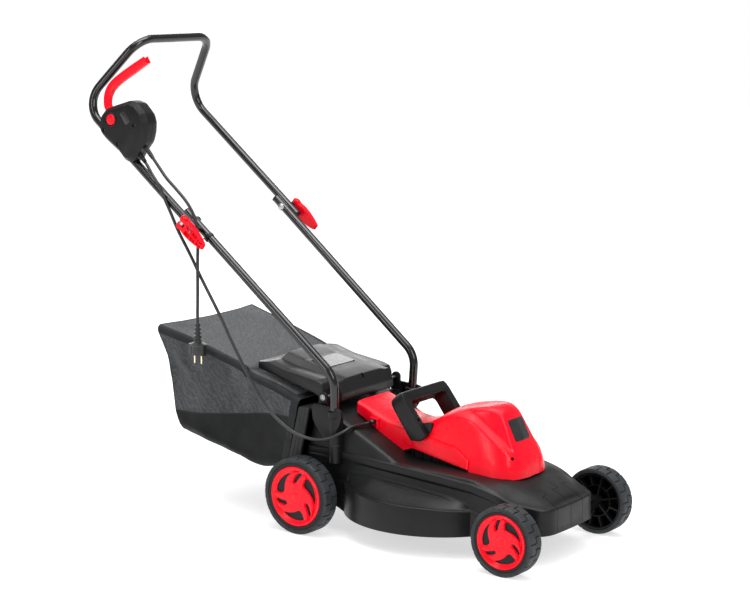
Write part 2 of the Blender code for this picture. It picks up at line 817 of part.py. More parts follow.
def build_motor_base():
    """The ribbed frame under the cover, which stands on the deck's plateau."""
    ribs = 7
    first, pitch = 0.196, 0.023
    side_line = ((0.188, 0.0535), (0.36, 0.0735))
    outer = [(0.188, 0.0535)]
    for index in range(ribs):
        x = first + index * pitch
        y = between(side_line, x)
        outer += [(x, y), (x, y + 0.0025), (x + 0.004, y + 0.003), (x + 0.004, y + 0.0005)]
    outer += [(0.372, 0.0735), (0.405, 0.0700), (0.428, 0.0550), (0.438, 0.0300)]
    outline = outer + [(x, -y) for x, y in reversed(outer)]
    hollow = ((0.192, 0.0490), (0.36, 0.0690), (0.400, 0.0650), (0.422, 0.0500), (0.430, 0.0300))
    hollow = hollow + tuple((x, -y) for x, y in reversed(hollow))
    base = add("motor_base", slab(outline, "XY", 0.150, 0.186), BLACK)
    front_slope = ((0.33, 0.1900), (0.36, 0.1780), (0.45, 0.1660), (0.45, 0.20), (0.33, 0.20))
    cut(
        base,
        slab(hollow, "XY", 0.14, 0.20),
        above_deck(0.0004),
        slab(front_slope, "XZ", -0.1, 0.1),
        rod((MOTOR_X, 0, 0.1), (MOTOR_X, 0, 0.2), 0.0565, sides=20),
    )


build_motor_base()

# Motor, from its end shield up to its upper bearing
def motor_part(name, profile, material, body=ROOT, closed=True):
    """A part turned about the motor's upright axis."""
    return turned(name, profile, material, MOTOR_STEPS, body, (MOTOR_X, 0, 0), closed=closed)


def build_motor():
    end_shield = (
        (0.0166, 0.1719), (0.0550, 0.1719), (0.0550, 0.1662), (0.0440, 0.1662), (0.0240, 0.1560),
        (0.0240, 0.1480), (0.0130, 0.1480), (0.0130, 0.1510), (0.0166, 0.1510),
    )
    stator = (
        (0.0114, 0.2325), (0.0160, 0.2325), (0.0180, 0.2250), (0.0500, 0.2220), (0.0550, 0.2180),
        (0.0550, 0.1723), (0.0305, 0.1723), (0.0305, 0.2180), (0.0114, 0.2200),
    )
    rotor = (
        (0, 0.2320), (0.0060, 0.2320), (0.0060, 0.2150), (0.0295, 0.2130),
        (0.0295, 0.1760), (0.0060, 0.1740), (0.0060, 0.0765), (0, 0.0765),
    )
    lower_bearing = ((0.0064, 0.1610), (0.0162, 0.1610), (0.0162, 0.1514), (0.0064, 0.1514))
    upper_bearing = ((0.0064, 0.2315), (0.0111, 0.2315), (0.0111, 0.2235), (0.0064, 0.2235))
    adapter = ((0.0063, 0.0920), (0.0140, 0.0920), (0.0220, 0.0640), (0.0220, 0.0583), (0.0063, 0.0583))
    bolt = (
        (0, 0.0762), (0.0050, 0.0762), (0.0050, 0.0538),
        (0.0110, 0.0538), (0.0110, 0.0470), (0, 0.0470),
    )
    motor_part("motor_end_shield", end_shield, CAST)
    motor_part("lower_bearing", lower_bearing, STEEL)
    motor_part("motor_stator", stator, STEEL)
    motor_part("upper_bearing", upper_bearing, STEEL)
    motor_part("motor_rotor", rotor, STEEL, ROTOR, closed=False)
    motor_part("blade_adapter", adapter, CAST, ROTOR)
    motor_part("blade_bolt", bolt, STEEL, ROTOR, closed=False)
    add("motor_capacitor", rod((0.344, -0.030, 0.1800), (0.344, 0.030, 0.1800), 0.0175), BLACK)


build_motor()


def build_fan():
    """A cooling fan with six blades on a plain disc and hub."""
    profile = (
        (0.0063, 0.1380), (0.0110, 0.1380), (0.0110, 0.1200),
        (0.0460, 0.1200), (0.0460, 0.1175), (0.0063, 0.1175),
    )
    fan = motor_part("cooling_fan", profile, BLACK, ROTOR)
    vanes = []
    for index in range(6):
        vane = box((0.0100, -0.0008, 0.1190), (0.0440, 0.0008, 0.1320))
        vane.transform(Matrix.Rotation(index * math.pi / 3, 4, "Z"))
        vanes.append(vane)
    join(fan, merged(*vanes))


build_fan()


def build_blade():
    """A flat steel bar with sharpened, cut-back ends and upturned wings at its trailing edges."""
    half = (
        (0.0, 0.023), (0.100, 0.023), (0.120, 0.0235), (0.160, 0.0235),
        (0.1655, 0.0), (0.160, -0.0120), (0.110, -0.0215), (0.0, -0.023),
    )
    outline = list(half[:-1]) + [(-x, -y) for x, y in half[:-1]]
    blade = add("blade", slab([(MOTOR_X + x, y) for x, y in outline], "XY", 0.0542, 0.0580), STEEL, ROTOR)
    wings = []
    for turn in (0, math.pi):
        wing_side = ((0.0205, 0.0560), (0.0240, 0.0560), (0.0290, 0.0700), (0.0265, 0.0705))
        wing = slab(wing_side, "YZ", 0.118, 0.158)
        wing.transform(Matrix.Translation((MOTOR_X, 0, 0)) @ Matrix.Rotation(turn, 4, "Z"))
        wings.append(wing)
    join(blade, *wings)
    cut(blade, rod((MOTOR_X, 0, 0.04), (MOTOR_X, 0, 0.07), 0.0053, sides=16))


build_blade()


# Handle tubes
def joint_point(y, past):
    """A point past the handle joint, along the tubes' own direction."""
    place = Vector((JOINT[0], y, JOINT[1])) + ALONG * past
    return (place.x, y, place.z)


def bore_of(path):
    """The bore of a handle tube, run out past both its ends."""
    ahead = (path[0] - path[1]).normalized() * 0.003
    behind = (path[-1] - path[-2]).normalized() * 0.003
    return solid_of(pipe([path[0] + ahead] + path[1:-1] + [path[-1] + behind], TUBE_RADIUS - TUBE_WALL, 1))


def build_lower_handle(side):
    name = "lower_handle_left" if side > 0 else "lower_handle_right"
    foot = socket_point(side, 0.1804)
    bend = (LOWER_BEND[0], side * -LOWER_BEND[1], LOWER_BEND[2])
    path = rounded([foot, bend, joint_point(side * LOWER_JOINT_Y, -OVERRUN)], BEND_RADIUS)
    tube = add(name, solid_of(pipe(path, TUBE_RADIUS)), PAINT)
    cut(tube, bore_of(path), crossbar(*JOINT, side * 0.13, side * 0.18, PIN_HOLE, 8))


build_lower_handle(-1)
build_lower_handle(1)

UPPER_PATH = rounded(
    [
        joint_point(-UPPER_JOINT_Y, OVERRUN),
        UPPER_BEND,
        TOP_CORNER,
        mirrored(TOP_CORNER),
        mirrored(UPPER_BEND),
        joint_point(UPPER_JOINT_Y, OVERRUN),
    ],
    BEND_RADIUS,
)
upper_handle = add("upper_handle", solid_of(pipe(UPPER_PATH, TUBE_RADIUS)), PAINT, FOLD)
cut(
    upper_handle,
    bore_of(UPPER_PATH),
    *both(lambda side: crossbar(*JOINT, side * 0.15, side * 0.20, PIN_HOLE, 8)),
)


# Quick-release joints: a bolt through both tubes, a cross pin, and a cam lever
def lever_frame(side):
    """Local axes of a cam lever: along the tube, outward, and across the tube."""
    return Matrix(
        (
            (ALONG.x, 0, ACROSS.x, JOINT[0]),
            (0, side, 0, side * PIN_Y),
            (ALONG.z, 0, ACROSS.z, JOINT[1]),
            (0, 0, 0, 1),
        )
    )


def in_frame(mesh, frame):
    """The mesh moved into a frame, with its faces turned back out if the frame mirrors it."""
    mesh.transform(frame)
    if frame.to_3x3().determinant() < 0:
        mesh.flip_normals()
    return mesh


CAM_SIDE = ring(range(60, 301, 40), CAM_RADIUS, (0, 0)) + [
    (0.0120, -0.0075), (0.0740, -0.0020), (0.0780, 0.0020), (0.0760, 0.0065), (0.0300, 0.0085),
]


def build_cam_lever(side, body):
    name = "cam_lever_left" if side > 0 else "cam_lever_right"
    frame = lever_frame(side)
    lever = add(name, in_frame(slab(CAM_SIDE, "XY", -CAM_HALF_WIDTH, CAM_HALF_WIDTH), frame), RED, body)
    upper_side = ((0.012, 0.0145), (0.012, 0.02), (0.09, 0.02), (0.09, 0.0095))
    lower_side = ((0.012, -0.0145), (0.09, -0.0095), (0.09, -0.02), (0.012, -0.02))
    taper = [in_frame(slab(outline, "XZ", -0.03, 0.03), frame) for outline in (upper_side, lower_side)]
    pockets = []
    for row in range(3):
        for column in (-1, 1):
            start = 0.026 + row * 0.016
            low, high = (0.0015, 0.0085) if column > 0 else (-0.0085, -0.0015)
            pockets.append(in_frame(box((start, 0.0045, low), (start + 0.012, 0.012, high)), frame))
    fork = in_frame(box((-0.02, -0.03, -FORK_HALF), (0.0125, 0.03, FORK_HALF)), frame)
    bore = in_frame(rod((0, 0, -0.03), (0, 0, 0.03), CROSS_PIN_HOLE, sides=12), frame)
    cut(lever, *taper, merged(*pockets), fork, bore)


build_cam_lever(-1, CAM_RIGHT)
build_cam_lever(1, CAM_LEFT)


def build_joint_bolt(side):
    """A bolt whose outer end is a flat eye for the cross pin."""
    name = "joint_bolt_left" if side > 0 else "joint_bolt_right"
    x, z = JOINT
    inner = LOWER_JOINT_Y - TUBE_RADIUS - 0.0012
    shank = crossbar(x, z, side * (inner - 0.004), side * (PIN_Y - 0.003), PIN_RADIUS, 12)
    bolt = add(name, shank, STEEL, FOLD)
    frame = lever_frame(side)
    join(
        bolt,
        crossbar(x, z, side * (inner - 0.005), side * inner, 0.0085, 12),
        in_frame(rod((0, 0, -0.0044), (0, 0, 0.0044), 0.0072, sides=12), frame),
    )
    cut(bolt, in_frame(rod((0, 0, -0.03), (0, 0, 0.03), CROSS_PIN_HOLE, sides=12), frame))
    pin_name = "lever_pin_left" if side > 0 else "lever_pin_right"
    pin = rod((0, 0, -0.0136), (0, 0, 0.0136), CROSS_PIN_RADIUS, sides=12)
    add(pin_name, in_frame(pin, frame), STEEL, FOLD)


build_joint_bolt(-1)
build_joint_bolt(1)

# Switch box on the right-hand bend of the handle
BOX_SIDE = (
    (-0.546, 0.828), (-0.539, 0.811), (-0.521, 0.796), (-0.487, 0.774), (-0.472, 0.758), (-0.455, 0.752),
    (-0.440, 0.760), (-0.428, 0.777), (-0.398, 0.803), (-0.388, 0.825), (-0.386, 0.840), (-0.391, 0.863),
    (-0.422, 0.885), (-0.451, 0.886), (-0.480, 0.878), (-0.504, 0.871), (-0.525, 0.864), (-0.539, 0.850),
)
BOX_HOLLOW = (
    (-0.526, 0.840), (-0.455, 0.783), (-0.432, 0.783), (-0.402, 0.806), (-0.392, 0.826), (-0.390, 0.840),
    (-0.394, 0.860), (-0.423, 0.881), (-0.450, 0.882), (-0.480, 0.874), (-0.503, 0.867), (-0.522, 0.860),
)
MAINS_RELIEF = (Vector((-0.440, -0.1780, 0.8050)), Vector((-0.4020, -0.1780, 0.7640)))
CABLE_RELIEF = (Vector((-0.456, -0.1775, 0.7905)), Vector((-0.4200, -0.1840, 0.7560)))


def extended(ends, amount):
    start, end = ends
    away = (end - start).normalized() * amount
    return start - away, end + away


def box_cutters(low, high, cap_low, cap_high):
    """What both halves of the switch box leave free: their hollow, the tube, the cords and the lever."""
    lever_slot = ((-0.546, 0.905), (-0.546, 0.8570), (-0.532, 0.8450), (-0.498, 0.8600), (-0.498, 0.905))
    return [
        slab(BOX_HOLLOW, "XZ", cap_low, cap_high),
        solid_of(pipe(UPPER_PATH, TUBE_RADIUS + 0.0004)),
        rod(*extended(MAINS_RELIEF, 0.002), RELIEF_HOLE, 0.0050, sides=12),
        rod(*extended(CABLE_RELIEF, 0.002), RELIEF_HOLE, 0.0050, sides=12),
        slab(lever_slot, "XZ", max(low, -0.1845), min(high, -0.1685)),
    ]


def build_switch_box():
    outer = add("switch_box_outer", slab(BOX_SIDE, "XZ", BOX_OUT, BOX_SPLIT - GAP / 2), BLACK, FOLD)
    cut(outer, *box_cutters(BOX_OUT, BOX_SPLIT + 0.01, BOX_OUT + BOX_WALL, BOX_SPLIT + 0.01))
    join(outer, crossbar(*BUTTON_AT, BOX_OUT - 0.0015, BOX_OUT + 0.001, 0.0135, 14))
    cut(outer, crossbar(*BUTTON_AT, BOX_OUT - 0.01, BOX_OUT + 0.004, BUTTON_HOLE, 14))
    inner = add("switch_box_inner", slab(BOX_SIDE, "XZ", BOX_SPLIT + GAP / 2, BOX_IN), BLACK, FOLD)
    cut(inner, *box_cutters(BOX_SPLIT - 0.01, BOX_IN, BOX_SPLIT - 0.01, BOX_IN - BOX_WALL))
    join(inner, crossbar(*LEVER_PIVOT, -0.184, BOX_IN - 0.001, 0.0028, 12))


build_switch_box()


def ribbon(line, widths):
    """The outline of a strip of varying width along a line in a plane."""
    left, right = [], []
    for index, (u, v) in enumerate(line):
        before = Vector(line[max(0, index - 1)])
        after = Vector(line[min(len(line) - 1, index + 1)])
        run = (after - before).normalized()
        normal = Vector((-run.y, run.x)) * (widths[index] / 2)
        left.append((u + normal.x, v + normal.y))
        right.append((u - normal.x, v - normal.y))
    return left + right[::-1]


def build_switch_lever():
    """The red lever, which leaves the box and leans inward with the handle's own bend."""
    line = (
        (-0.5235, 0.860), (-0.5285, 0.878), (-0.5265, 0.900), (-0.5160, 0.920),
        (-0.4960, 0.942), (-0.4700, 0.961), (-0.4450, 0.979),
    )
    widths = (0.0130, 0.0140, 0.0150, 0.0170, 0.0180, 0.0180, 0.0140)
    low, high = BOX_SPLIT - 0.0050, BOX_SPLIT + 0.0050
    arm = slab(ribbon(line, widths), "XZ", low, high)
    for vertex in arm.vertices:
        vertex.co.y += max(0.0, vertex.co.z - 0.872) / 3
    px, pz = LEVER_PIVOT
    root_side = ((px - 0.002, pz - 0.007), (px + 0.005, pz + 0.005), (-0.5150, 0.8660), (-0.5300, 0.8610))
    lever = add("switch_lever", arm, RED, LEVER)
    join(
        lever,
        crossbar(px, pz, low, high, 0.0080, 16),
        slab(root_side, "XZ", BOX_SPLIT - 0.0046, BOX_SPLIT + 0.0046),
    )
    cut(lever, crossbar(px, pz, -0.2, -0.15, 0.0031, 12))


build_switch_lever()


def spring_points(centre, axis, radius, length, turns, per_turn=8):
    """Points of a helical spring along an axis, from its middle."""
    axis = Vector(axis).normalized()
    first = axis.orthogonal().normalized()
    second = axis.cross(first)
    count = int(turns * per_turn)
    points = []
    for index in range(count + 1):
        angle = 2 * math.pi * index / per_turn
        lift = length * (index / count - 0.5)
        around = first * (radius * math.cos(angle)) + second * (radius * math.sin(angle))
        points.append(Vector(centre) + around + axis * lift)
    return points


def build_switch_parts():
    """The button and what works behind it: the switch, both springs and the cords' sleeves."""
    bx, bz = BUTTON_AT
    px, pz = LEVER_PIVOT
    shaft = crossbar(bx, bz, BOX_OUT - 0.0036, -0.1945, BUTTON_RADIUS, 14)
    lock_button = add("lock_button", shaft, RED, BUTTON)
    join(lock_button, crossbar(bx, bz, -0.1972, -0.1950, 0.0120, 14))
    add("microswitch", box((-0.480, -0.1840, 0.826), (-0.452, -0.1700, 0.844)), BLACK, FOLD)
    button_coil = spring_points((bx + 0.004, -0.1876, bz), (0, 1, 0), 0.0040, 0.0040, 2.5)
    lever_coil = spring_points((px, -0.1645, pz), (0, 1, 0), 0.0046, 0.0060, 2)
    add("button_spring", pipe(button_coil, 0.0006, 1), STEEL, FOLD)
    add("lever_spring", pipe(lever_coil, 0.0007, 1), STEEL, FOLD)
    add("mains_strain_relief", rod(*MAINS_RELIEF, RELIEF_RADIUS, 0.0045, sides=12), CORD, FOLD)
    add("cable_strain_relief", rod(*CABLE_RELIEF, RELIEF_RADIUS, 0.0045, sides=12), CORD, FOLD)


build_switch_parts()


# Cords
def past(ends, amount):
    """A point a little way beyond the end of a sleeve."""
    start, end = ends
    return end + (end - start).normalized() * amount


MAINS_ROUTE = [
    past(MAINS_RELIEF, GAP), past(MAINS_RELIEF, 0.015), (-0.3640, -0.1790, 0.7240),
    (-0.3360, -0.1800, 0.7020), (-0.3060, -0.1815, 0.6770), (-0.2880, -0.1820, 0.6540),
    (-0.2780, -0.1820, 0.6320), (-0.2745, -0.1820, 0.6120), (-0.2740, -0.1830, 0.5850),
    (-0.2735, -0.1855, 0.5400), (-0.2730, -0.1870, 0.4850), (-0.2730, -0.1885, 0.4400),
    (-0.2730, -0.1885, 0.4185),
]
MOTOR_ROUTE = [
    past(CABLE_RELIEF, GAP), past(CABLE_RELIEF, 0.012), (-0.3970, -0.1880, 0.7310),
    (-0.3750, -0.1895, 0.7060), (-0.3580, -0.1885, 0.6740), (-0.3480, -0.1840, 0.6490),
    (-0.3330, -0.1780, 0.6110), (-0.3020, -0.1760, 0.5620), (-0.2690, -0.1755, 0.5090),
    (-0.2190, -0.1800, 0.4410), (-0.1750, -0.1830, 0.3730), (-0.1420, -0.1840, 0.3250),
    (-0.1100, -0.1840, 0.2800), (-0.0780, -0.1830, 0.2470), (-0.0470, -0.1810, 0.2250),
    (-0.0180, -0.1780, 0.2100), (0.0170, -0.1730, 0.2020), (0.0450, -0.1680, 0.2030),
    (0.0710, -0.1580, 0.2120), (0.0850, -0.1410, 0.2220), (0.0900, -0.1220, 0.2275),
    (0.0940, -0.0960, 0.2275), past((GLAND_IN, GLAND_OUT), 0.012), past((GLAND_IN, GLAND_OUT), 3 * GAP),
]
add("mains_cord", pipe(smooth(MAINS_ROUTE, CORD_STEP), CORD_RADIUS, 2), CORD, FOLD)
add("motor_cable", pipe(smooth(MOTOR_ROUTE, CORD_STEP), CORD_RADIUS, 2), CORD)


def build_plug():
    """A two-pin plug that hangs from the mains cord, with a ribbed strain relief."""
    x, y, top = -0.2730, -0.1885, 0.4182
    plug = turned(
        "mains_plug",
        (
            (0, top), (0.0046, top), (0.0050, top - 0.010), (0.0062, top - 0.012),
            (0.0055, top - 0.018), (0.0070, top - 0.020), (0.0062, top - 0.028),
            (0.0078, top - 0.030), (0.0075, top - 0.046), (0, top - 0.046),
        ),
        CORD, steps=12, body=FOLD, at=(x, y, 0),
    )
    flange = slab(ring(range(0, 360, 36), 0.0125, (0, 0)), "XY", top - 0.0540, top - 0.0440)
    flange.transform(Matrix.Diagonal((1.5, 0.72, 1, 1)))
    grip = slab(ring(range(0, 360, 36), 0.0110, (0, 0)), "XY", top - 0.0700, top - 0.0530)
    grip.transform(Matrix.Diagonal((1.45, 0.64, 1, 1)))
    join(plug, flange, grip)
    for name, px in (("plug_pin_rear", x - 0.0095), ("plug_pin_front", x + 0.0095)):
        add(name, rod((px, y, top - 0.0703), (px, y, top - 0.0890), 0.0022, sides=10), BRASS, FOLD)


build_plug()


# Rear flap
def build_flap():
    """A moulded lid with a raised panel, hollow underneath, and a rolled front edge round its hinge pin."""
    plate = (
        (-0.160, 0.3225), (-0.160, 0.3350), (-0.130, 0.3420), (0.000, 0.3180), (0.029, 0.3120),
        (0.041, 0.2860), (0.041, 0.2690), (0.030, 0.2655), (0.012, 0.2680), (-0.012, 0.2860),
    )
    panel = (
        (-0.138, 0.3300), (-0.125, 0.3540), (-0.106, 0.3650), (-0.036, 0.3360),
        (0.009, 0.3270), (0.029, 0.3165), (0.033, 0.3000), (0.0, 0.3000),
    )
    under = ((-0.157, 0.3180), (-0.157, 0.3320), (-0.130, 0.3385), (-0.005, 0.3150), (-0.005, 0.2700))
    lift = (
        (-0.135, 0.3300), (-0.123, 0.3515), (-0.106, 0.3615),
        (-0.036, 0.3325), (-0.005, 0.3250), (-0.005, 0.3000),
    )
    flap = add("rear_flap", slab(plate, "XZ", -FLAP_HALF, FLAP_HALF), BLACK, FLAP)
    join(flap, slab(panel, "XZ", -FLAP_PANEL_HALF, FLAP_PANEL_HALF))
    plate_in = FLAP_HALF - FLAP_SKIN
    panel_in = FLAP_PANEL_HALF - FLAP_SKIN
    corners = both(lambda side: side_block(side, (-0.01, 0.06), (0.102, 0.14), (0.20, 0.2720)))
    cut(
        flap,
        slab(under, "XZ", -plate_in, plate_in),
        slab(lift, "XZ", -panel_in, panel_in),
        crossbar(*FLAP_AXIS, -0.2, 0.2, 0.0033, 12),
        box((0.0085, 0.0500, 0.25), (0.0355, 0.0700, 0.2965)),
        *corners,
    )


build_flap()
add("flap_hinge_pin", crossbar(*FLAP_AXIS, -0.1368, 0.1368, PIN_RADIUS, 12), STEEL)
flap_coil = spring_points((FLAP_AXIS[0], 0.060, FLAP_AXIS[1]), (0, 1, 0), 0.0052, 0.0100, 3)
add("flap_spring", pipe(flap_coil, 0.0008, 1), STEEL)


# Grass bag: rows from the mouth to the rear, each from the top middle round to the bottom middle
def bag_row(top, bottom, top_half, bottom_half):
    (tx, tz), (bx_, bz_) = top, bottom

    def at(share, y, lift=0.0):
        return (tx + (bx_ - tx) * share, y, tz + (bz_ - tz) * share + lift)

    side = (top_half + bottom_half) / 2
    return [
        at(0.0, 0.0, -0.002),
        at(0.0, top_half * 0.6),
        at(0.0, top_half - 0.010),
        at(0.05, top_half),
        at(0.45, side + 0.001),
        at(0.92, bottom_half),
        at(1.0, bottom_half - 0.014),
        at(1.0, 0.0),
    ]


BAG_ROWS = (
    ((-0.0310, 0.2740), (-0.0620, 0.1350), 0.1480, 0.1480),
    ((-0.1000, 0.3000), (-0.1370, 0.1110), 0.1500, 0.1480),
    ((-0.1640, 0.3195), (-0.2050, 0.1255), 0.1540, 0.1485),
    ((-0.1860, 0.3350), (-0.2250, 0.1305), 0.1560, 0.1490),
    ((-0.3000, 0.3690), (-0.3050, 0.1490), 0.1610, 0.1500),
    ((-0.3950, 0.3960), (-0.3600, 0.1630), 0.1640, 0.1500),
    ((-0.4000, 0.3900), (-0.3740, 0.1720), 0.1600, 0.1460),
)


def build_bag():
    bm = loft([bag_row(*row) for row in BAG_ROWS])
    bm.verts.ensure_lookup_table()
    count = len(bag_row(*BAG_ROWS[0]))
    bm.faces.new(bm.verts[-count:])
    shell("grass_bag", bm, FABRIC, BAG_CLOTH, BAG)


build_bag()


def build_mouth_frame():
    """The stiff frame of the bag's mouth, which leans with the chute's edge and hooks over it."""
    side = ((-0.0035, 0.2600), (-0.0300, 0.2600), (-0.0612, 0.1360), (-0.0315, 0.1360))
    frame = add("bag_mouth_frame", slab(side, "XZ", -MOUTH_OUT, MOUTH_OUT), BLACK, BAG)
    hole = ((0.02, 0.2535), (-0.05, 0.2535), (-0.09, 0.1425), (0.02, 0.1425))
    hook = (
        (-0.0200, 0.2590), (-0.0200, 0.2690), (0.0080, 0.2660),
        (0.0080, 0.2630), (-0.0030, 0.2645), (-0.0045, 0.2590),
    )
    join(frame, *both(lambda side_of: slab(hook, "XZ", *span(side_of, 0.070, 0.090))))
    cut(frame, slab(hole, "XZ", -MOUTH_IN, MOUTH_IN))


build_mouth_frame()
half_wire = [
    (-0.0360, -0.1380, 0.2620), (-0.1660, -0.1430, 0.3080),
    (-0.1900, -0.1440, 0.3250), (-0.3880, -0.1540, 0.3850),
]
bag_wire = rounded(half_wire + [mirrored(point) for point in reversed(half_wire)], 0.012, 2)
add("bag_frame", pipe(bag_wire, WIRE_RADIUS, 1), STEEL, BAG)
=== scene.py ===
"""Looks of the electric lawn mower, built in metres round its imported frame.

Points are in the design frame, where x = 0 is the rear axle and z = 0 the ground. SHIFT moves them into
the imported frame, whose origin is under the mower's middle.
"""

import math

import bmesh
import bpy
from mathutils import Matrix, Vector
from mathutils.bvhtree import BVHTree


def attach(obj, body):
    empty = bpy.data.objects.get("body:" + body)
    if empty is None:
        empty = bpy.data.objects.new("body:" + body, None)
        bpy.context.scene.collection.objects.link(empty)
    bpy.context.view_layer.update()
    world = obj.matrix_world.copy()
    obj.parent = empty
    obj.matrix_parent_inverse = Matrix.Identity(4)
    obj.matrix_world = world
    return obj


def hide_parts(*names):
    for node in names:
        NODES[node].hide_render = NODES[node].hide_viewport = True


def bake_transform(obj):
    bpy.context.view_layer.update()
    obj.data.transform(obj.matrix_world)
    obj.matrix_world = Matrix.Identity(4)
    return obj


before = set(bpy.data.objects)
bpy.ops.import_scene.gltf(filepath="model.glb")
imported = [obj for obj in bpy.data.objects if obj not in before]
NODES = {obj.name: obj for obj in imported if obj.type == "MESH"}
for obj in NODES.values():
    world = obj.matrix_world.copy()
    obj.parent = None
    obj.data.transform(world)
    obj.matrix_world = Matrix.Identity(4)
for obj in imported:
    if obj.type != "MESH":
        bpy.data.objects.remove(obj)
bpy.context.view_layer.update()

# Driving dimensions, as in the CAD
SHIFT = 0.0083
WHEELBASE = 0.505
TRACK_OUT = 0.2043
WHEEL_WIDTH = 0.0415
FRONT_RADIUS = 0.070
REAR_RADIUS = 0.0813
FRONT_CAP_RADIUS = 0.0546
REAR_CAP_RADIUS = 0.0635
TYRE_WALL = 0.0092
RIM_WALL = 0.0037
HUB_RADIUS = 0.0118
BORE_RADIUS = 0.0053
GAP = 0.0003
CUT_X = 0.2315
SKIRT_RADIUS = 0.205
SKIRT_Z = 0.045
BODY_HALF = 0.131
NOSE_X = 0.55
NOSE_GROOVES = ((-0.059, 0.512, 0.020), (-0.010, 0.505, 0.022), (0.036, 0.500, 0.020), (0.067, 0.498, 0.0))
GROOVE_TURN = (0.530, 0.100)
GROOVE_STEP = 0.020
DECK_WALL = 0.0035
FLAP_AXIS = (0.022, 0.283)
TUBE_RADIUS = 0.0095
BEND_RADIUS = 0.055
SOCKET_TOP = (0.0585, -0.142, 0.261)
LOWER_BEND = (0.0608, -0.1465, 0.3336)
JOINT = (-0.3066, 0.6328)
LOWER_JOINT_Y = 0.1543
UPPER_JOINT_Y = 0.1742
UPPER_BEND = (-0.6037, -0.17675, 0.8714)
TOP_CORNER = (-0.4896, -0.11775, 1.0145)
OVERRUN = 0.028
PIN_Y = 0.1935
BOX_OUT = -0.2005
BOX_SPLIT = -0.1765
BOX_IN = -0.152
LEVER_PIVOT = (-0.512, 0.852)
BUTTON_AT = (-0.501, 0.844)
CORD_RADIUS = 0.0035
AXLE_HOLE = 0.0056
BOSS_OUT = 0.1638
EAR_OUT = 0.1352
MOTOR_X = 0.235
PIN_HOLE = 0.0033
BUTTON_HOLE = 0.0126
LEAN_FROM_Z = 0.872
GRIP_SCREW_UP = 0.038
LEG_MID = 0.0745
NOSE_GROOVE_WIDTH = 0.0012
NOSE_GROOVE_DEPTH = 0.0009
MESH_THICKNESS = 0.0012
PANEL_THICKNESS = 0.0016
BAND_THICKNESS = 0.0022
MOUTH_BAND_THICKNESS = 0.0024
PIPING_RADIUS = 0.0013
ALONG = Vector((LOWER_BEND[0] - JOINT[0], 0, LOWER_BEND[2] - JOINT[1])).normalized()
ACROSS = Vector((-ALONG.z, 0, ALONG.x))

# The photograph's camera, in the design frame
VIEW_AZIMUTH = math.radians(35.709)
VIEW_ELEVATION = math.radians(9.668)
VIEW_DISTANCE = 4.139
VIEW_TARGET = Vector((0.0595, 0.0, 0.475))
SENSOR_WIDTH = 36.0
FOCAL_LENGTH = 93.82

# Where a noise starts and ends to change a colour or a roughness
RAMP_LOW = 0.3
RAMP_HIGH = 0.7


# Materials
class Finish:
    """A Principled material whose colour, roughness and bump come from procedural textures."""

    def __init__(self, name, metallic=0.0, coat=0.0, specular=0.5):
        self.material = bpy.data.materials.new(name)
        self.material.use_nodes = True
        self.tree = self.material.node_tree
        self.shader = self.tree.nodes["Principled BSDF"]
        self.shader.inputs["Metallic"].default_value = metallic
        self.shader.inputs["Coat Weight"].default_value = coat
        self.shader.inputs["Coat Roughness"].default_value = 0.08
        self.shader.inputs["Specular IOR Level"].default_value = specular
        self.coords = self.tree.nodes.new("ShaderNodeTexCoord")
        self.normal = None

    def place(self, stretch):
        mapping = self.tree.nodes.new("ShaderNodeMapping")
        mapping.inputs["Scale"].default_value = stretch
        self.tree.links.new(self.coords.outputs["Object"], mapping.inputs["Vector"])
        return mapping.outputs["Vector"]

    def noise(self, scale, detail=3.0, rough=0.55, stretch=(1, 1, 1)):
        node = self.tree.nodes.new("ShaderNodeTexNoise")
        node.inputs["Scale"].default_value = scale
        node.inputs["Detail"].default_value = detail
        node.inputs["Roughness"].default_value = rough
        self.tree.links.new(self.place(stretch), node.inputs["Vector"])
        return node.outputs["Fac"]

    def wave(self, scale, direction, distortion=0.0):
        node = self.tree.nodes.new("ShaderNodeTexWave")
        node.bands_direction = direction
        node.inputs["Scale"].default_value = scale
        node.inputs["Distortion"].default_value = distortion
        node.inputs["Detail"].default_value = 1.0
        self.tree.links.new(self.coords.outputs["UV"], node.inputs["Vector"])
        return node.outputs["Fac"]

    def maths(self, operation, first, second):
        node = self.tree.nodes.new("ShaderNodeMath")
        node.operation = operation
        for socket, value in zip(node.inputs, (first, second)):
            if isinstance(value, (int, float)):
                socket.default_value = value
            else:
                self.tree.links.new(value, socket)
        return node.outputs["Value"]

    def ramp(self, value, stops):
        node = self.tree.nodes.new("ShaderNodeValToRGB")
        elements = node.color_ramp.elements
        while len(elements) < len(stops):
            elements.new(0.5)
        for element, (place, colour) in zip(elements, stops):
            element.position = place
            element.color = (*colour, 1.0) if len(colour) == 3 else colour
        self.tree.links.new(value, node.inputs["Fac"])
        return node.outputs["Color"]

    def colour(self, value, dark, light, low=RAMP_LOW, high=RAMP_HIGH):
        shade = self.ramp(value, ((low, dark), (high, light)))
        self.tree.links.new(shade, self.shader.inputs["Base Color"])
        return self

    def roughness(self, value, smooth, rough):
        shade = self.ramp(value, ((RAMP_LOW, (smooth,) * 3), (RAMP_HIGH, (rough,) * 3)))
        self.tree.links.new(shade, self.shader.inputs["Roughness"])
        return self

    def bump(self, value, depth, strength=1.0):
        node = self.tree.nodes.new("ShaderNodeBump")
        node.inputs["Strength"].default_value = strength
        node.inputs["Distance"].default_value = depth
        self.tree.links.new(value, node.inputs["Height"])
        if self.normal is not None:
            self.tree.links.new(self.normal, node.inputs["Normal"])
        self.normal = node.outputs["Normal"]
        self.tree.links.new(self.normal, self.shader.inputs["Normal"])
        return self


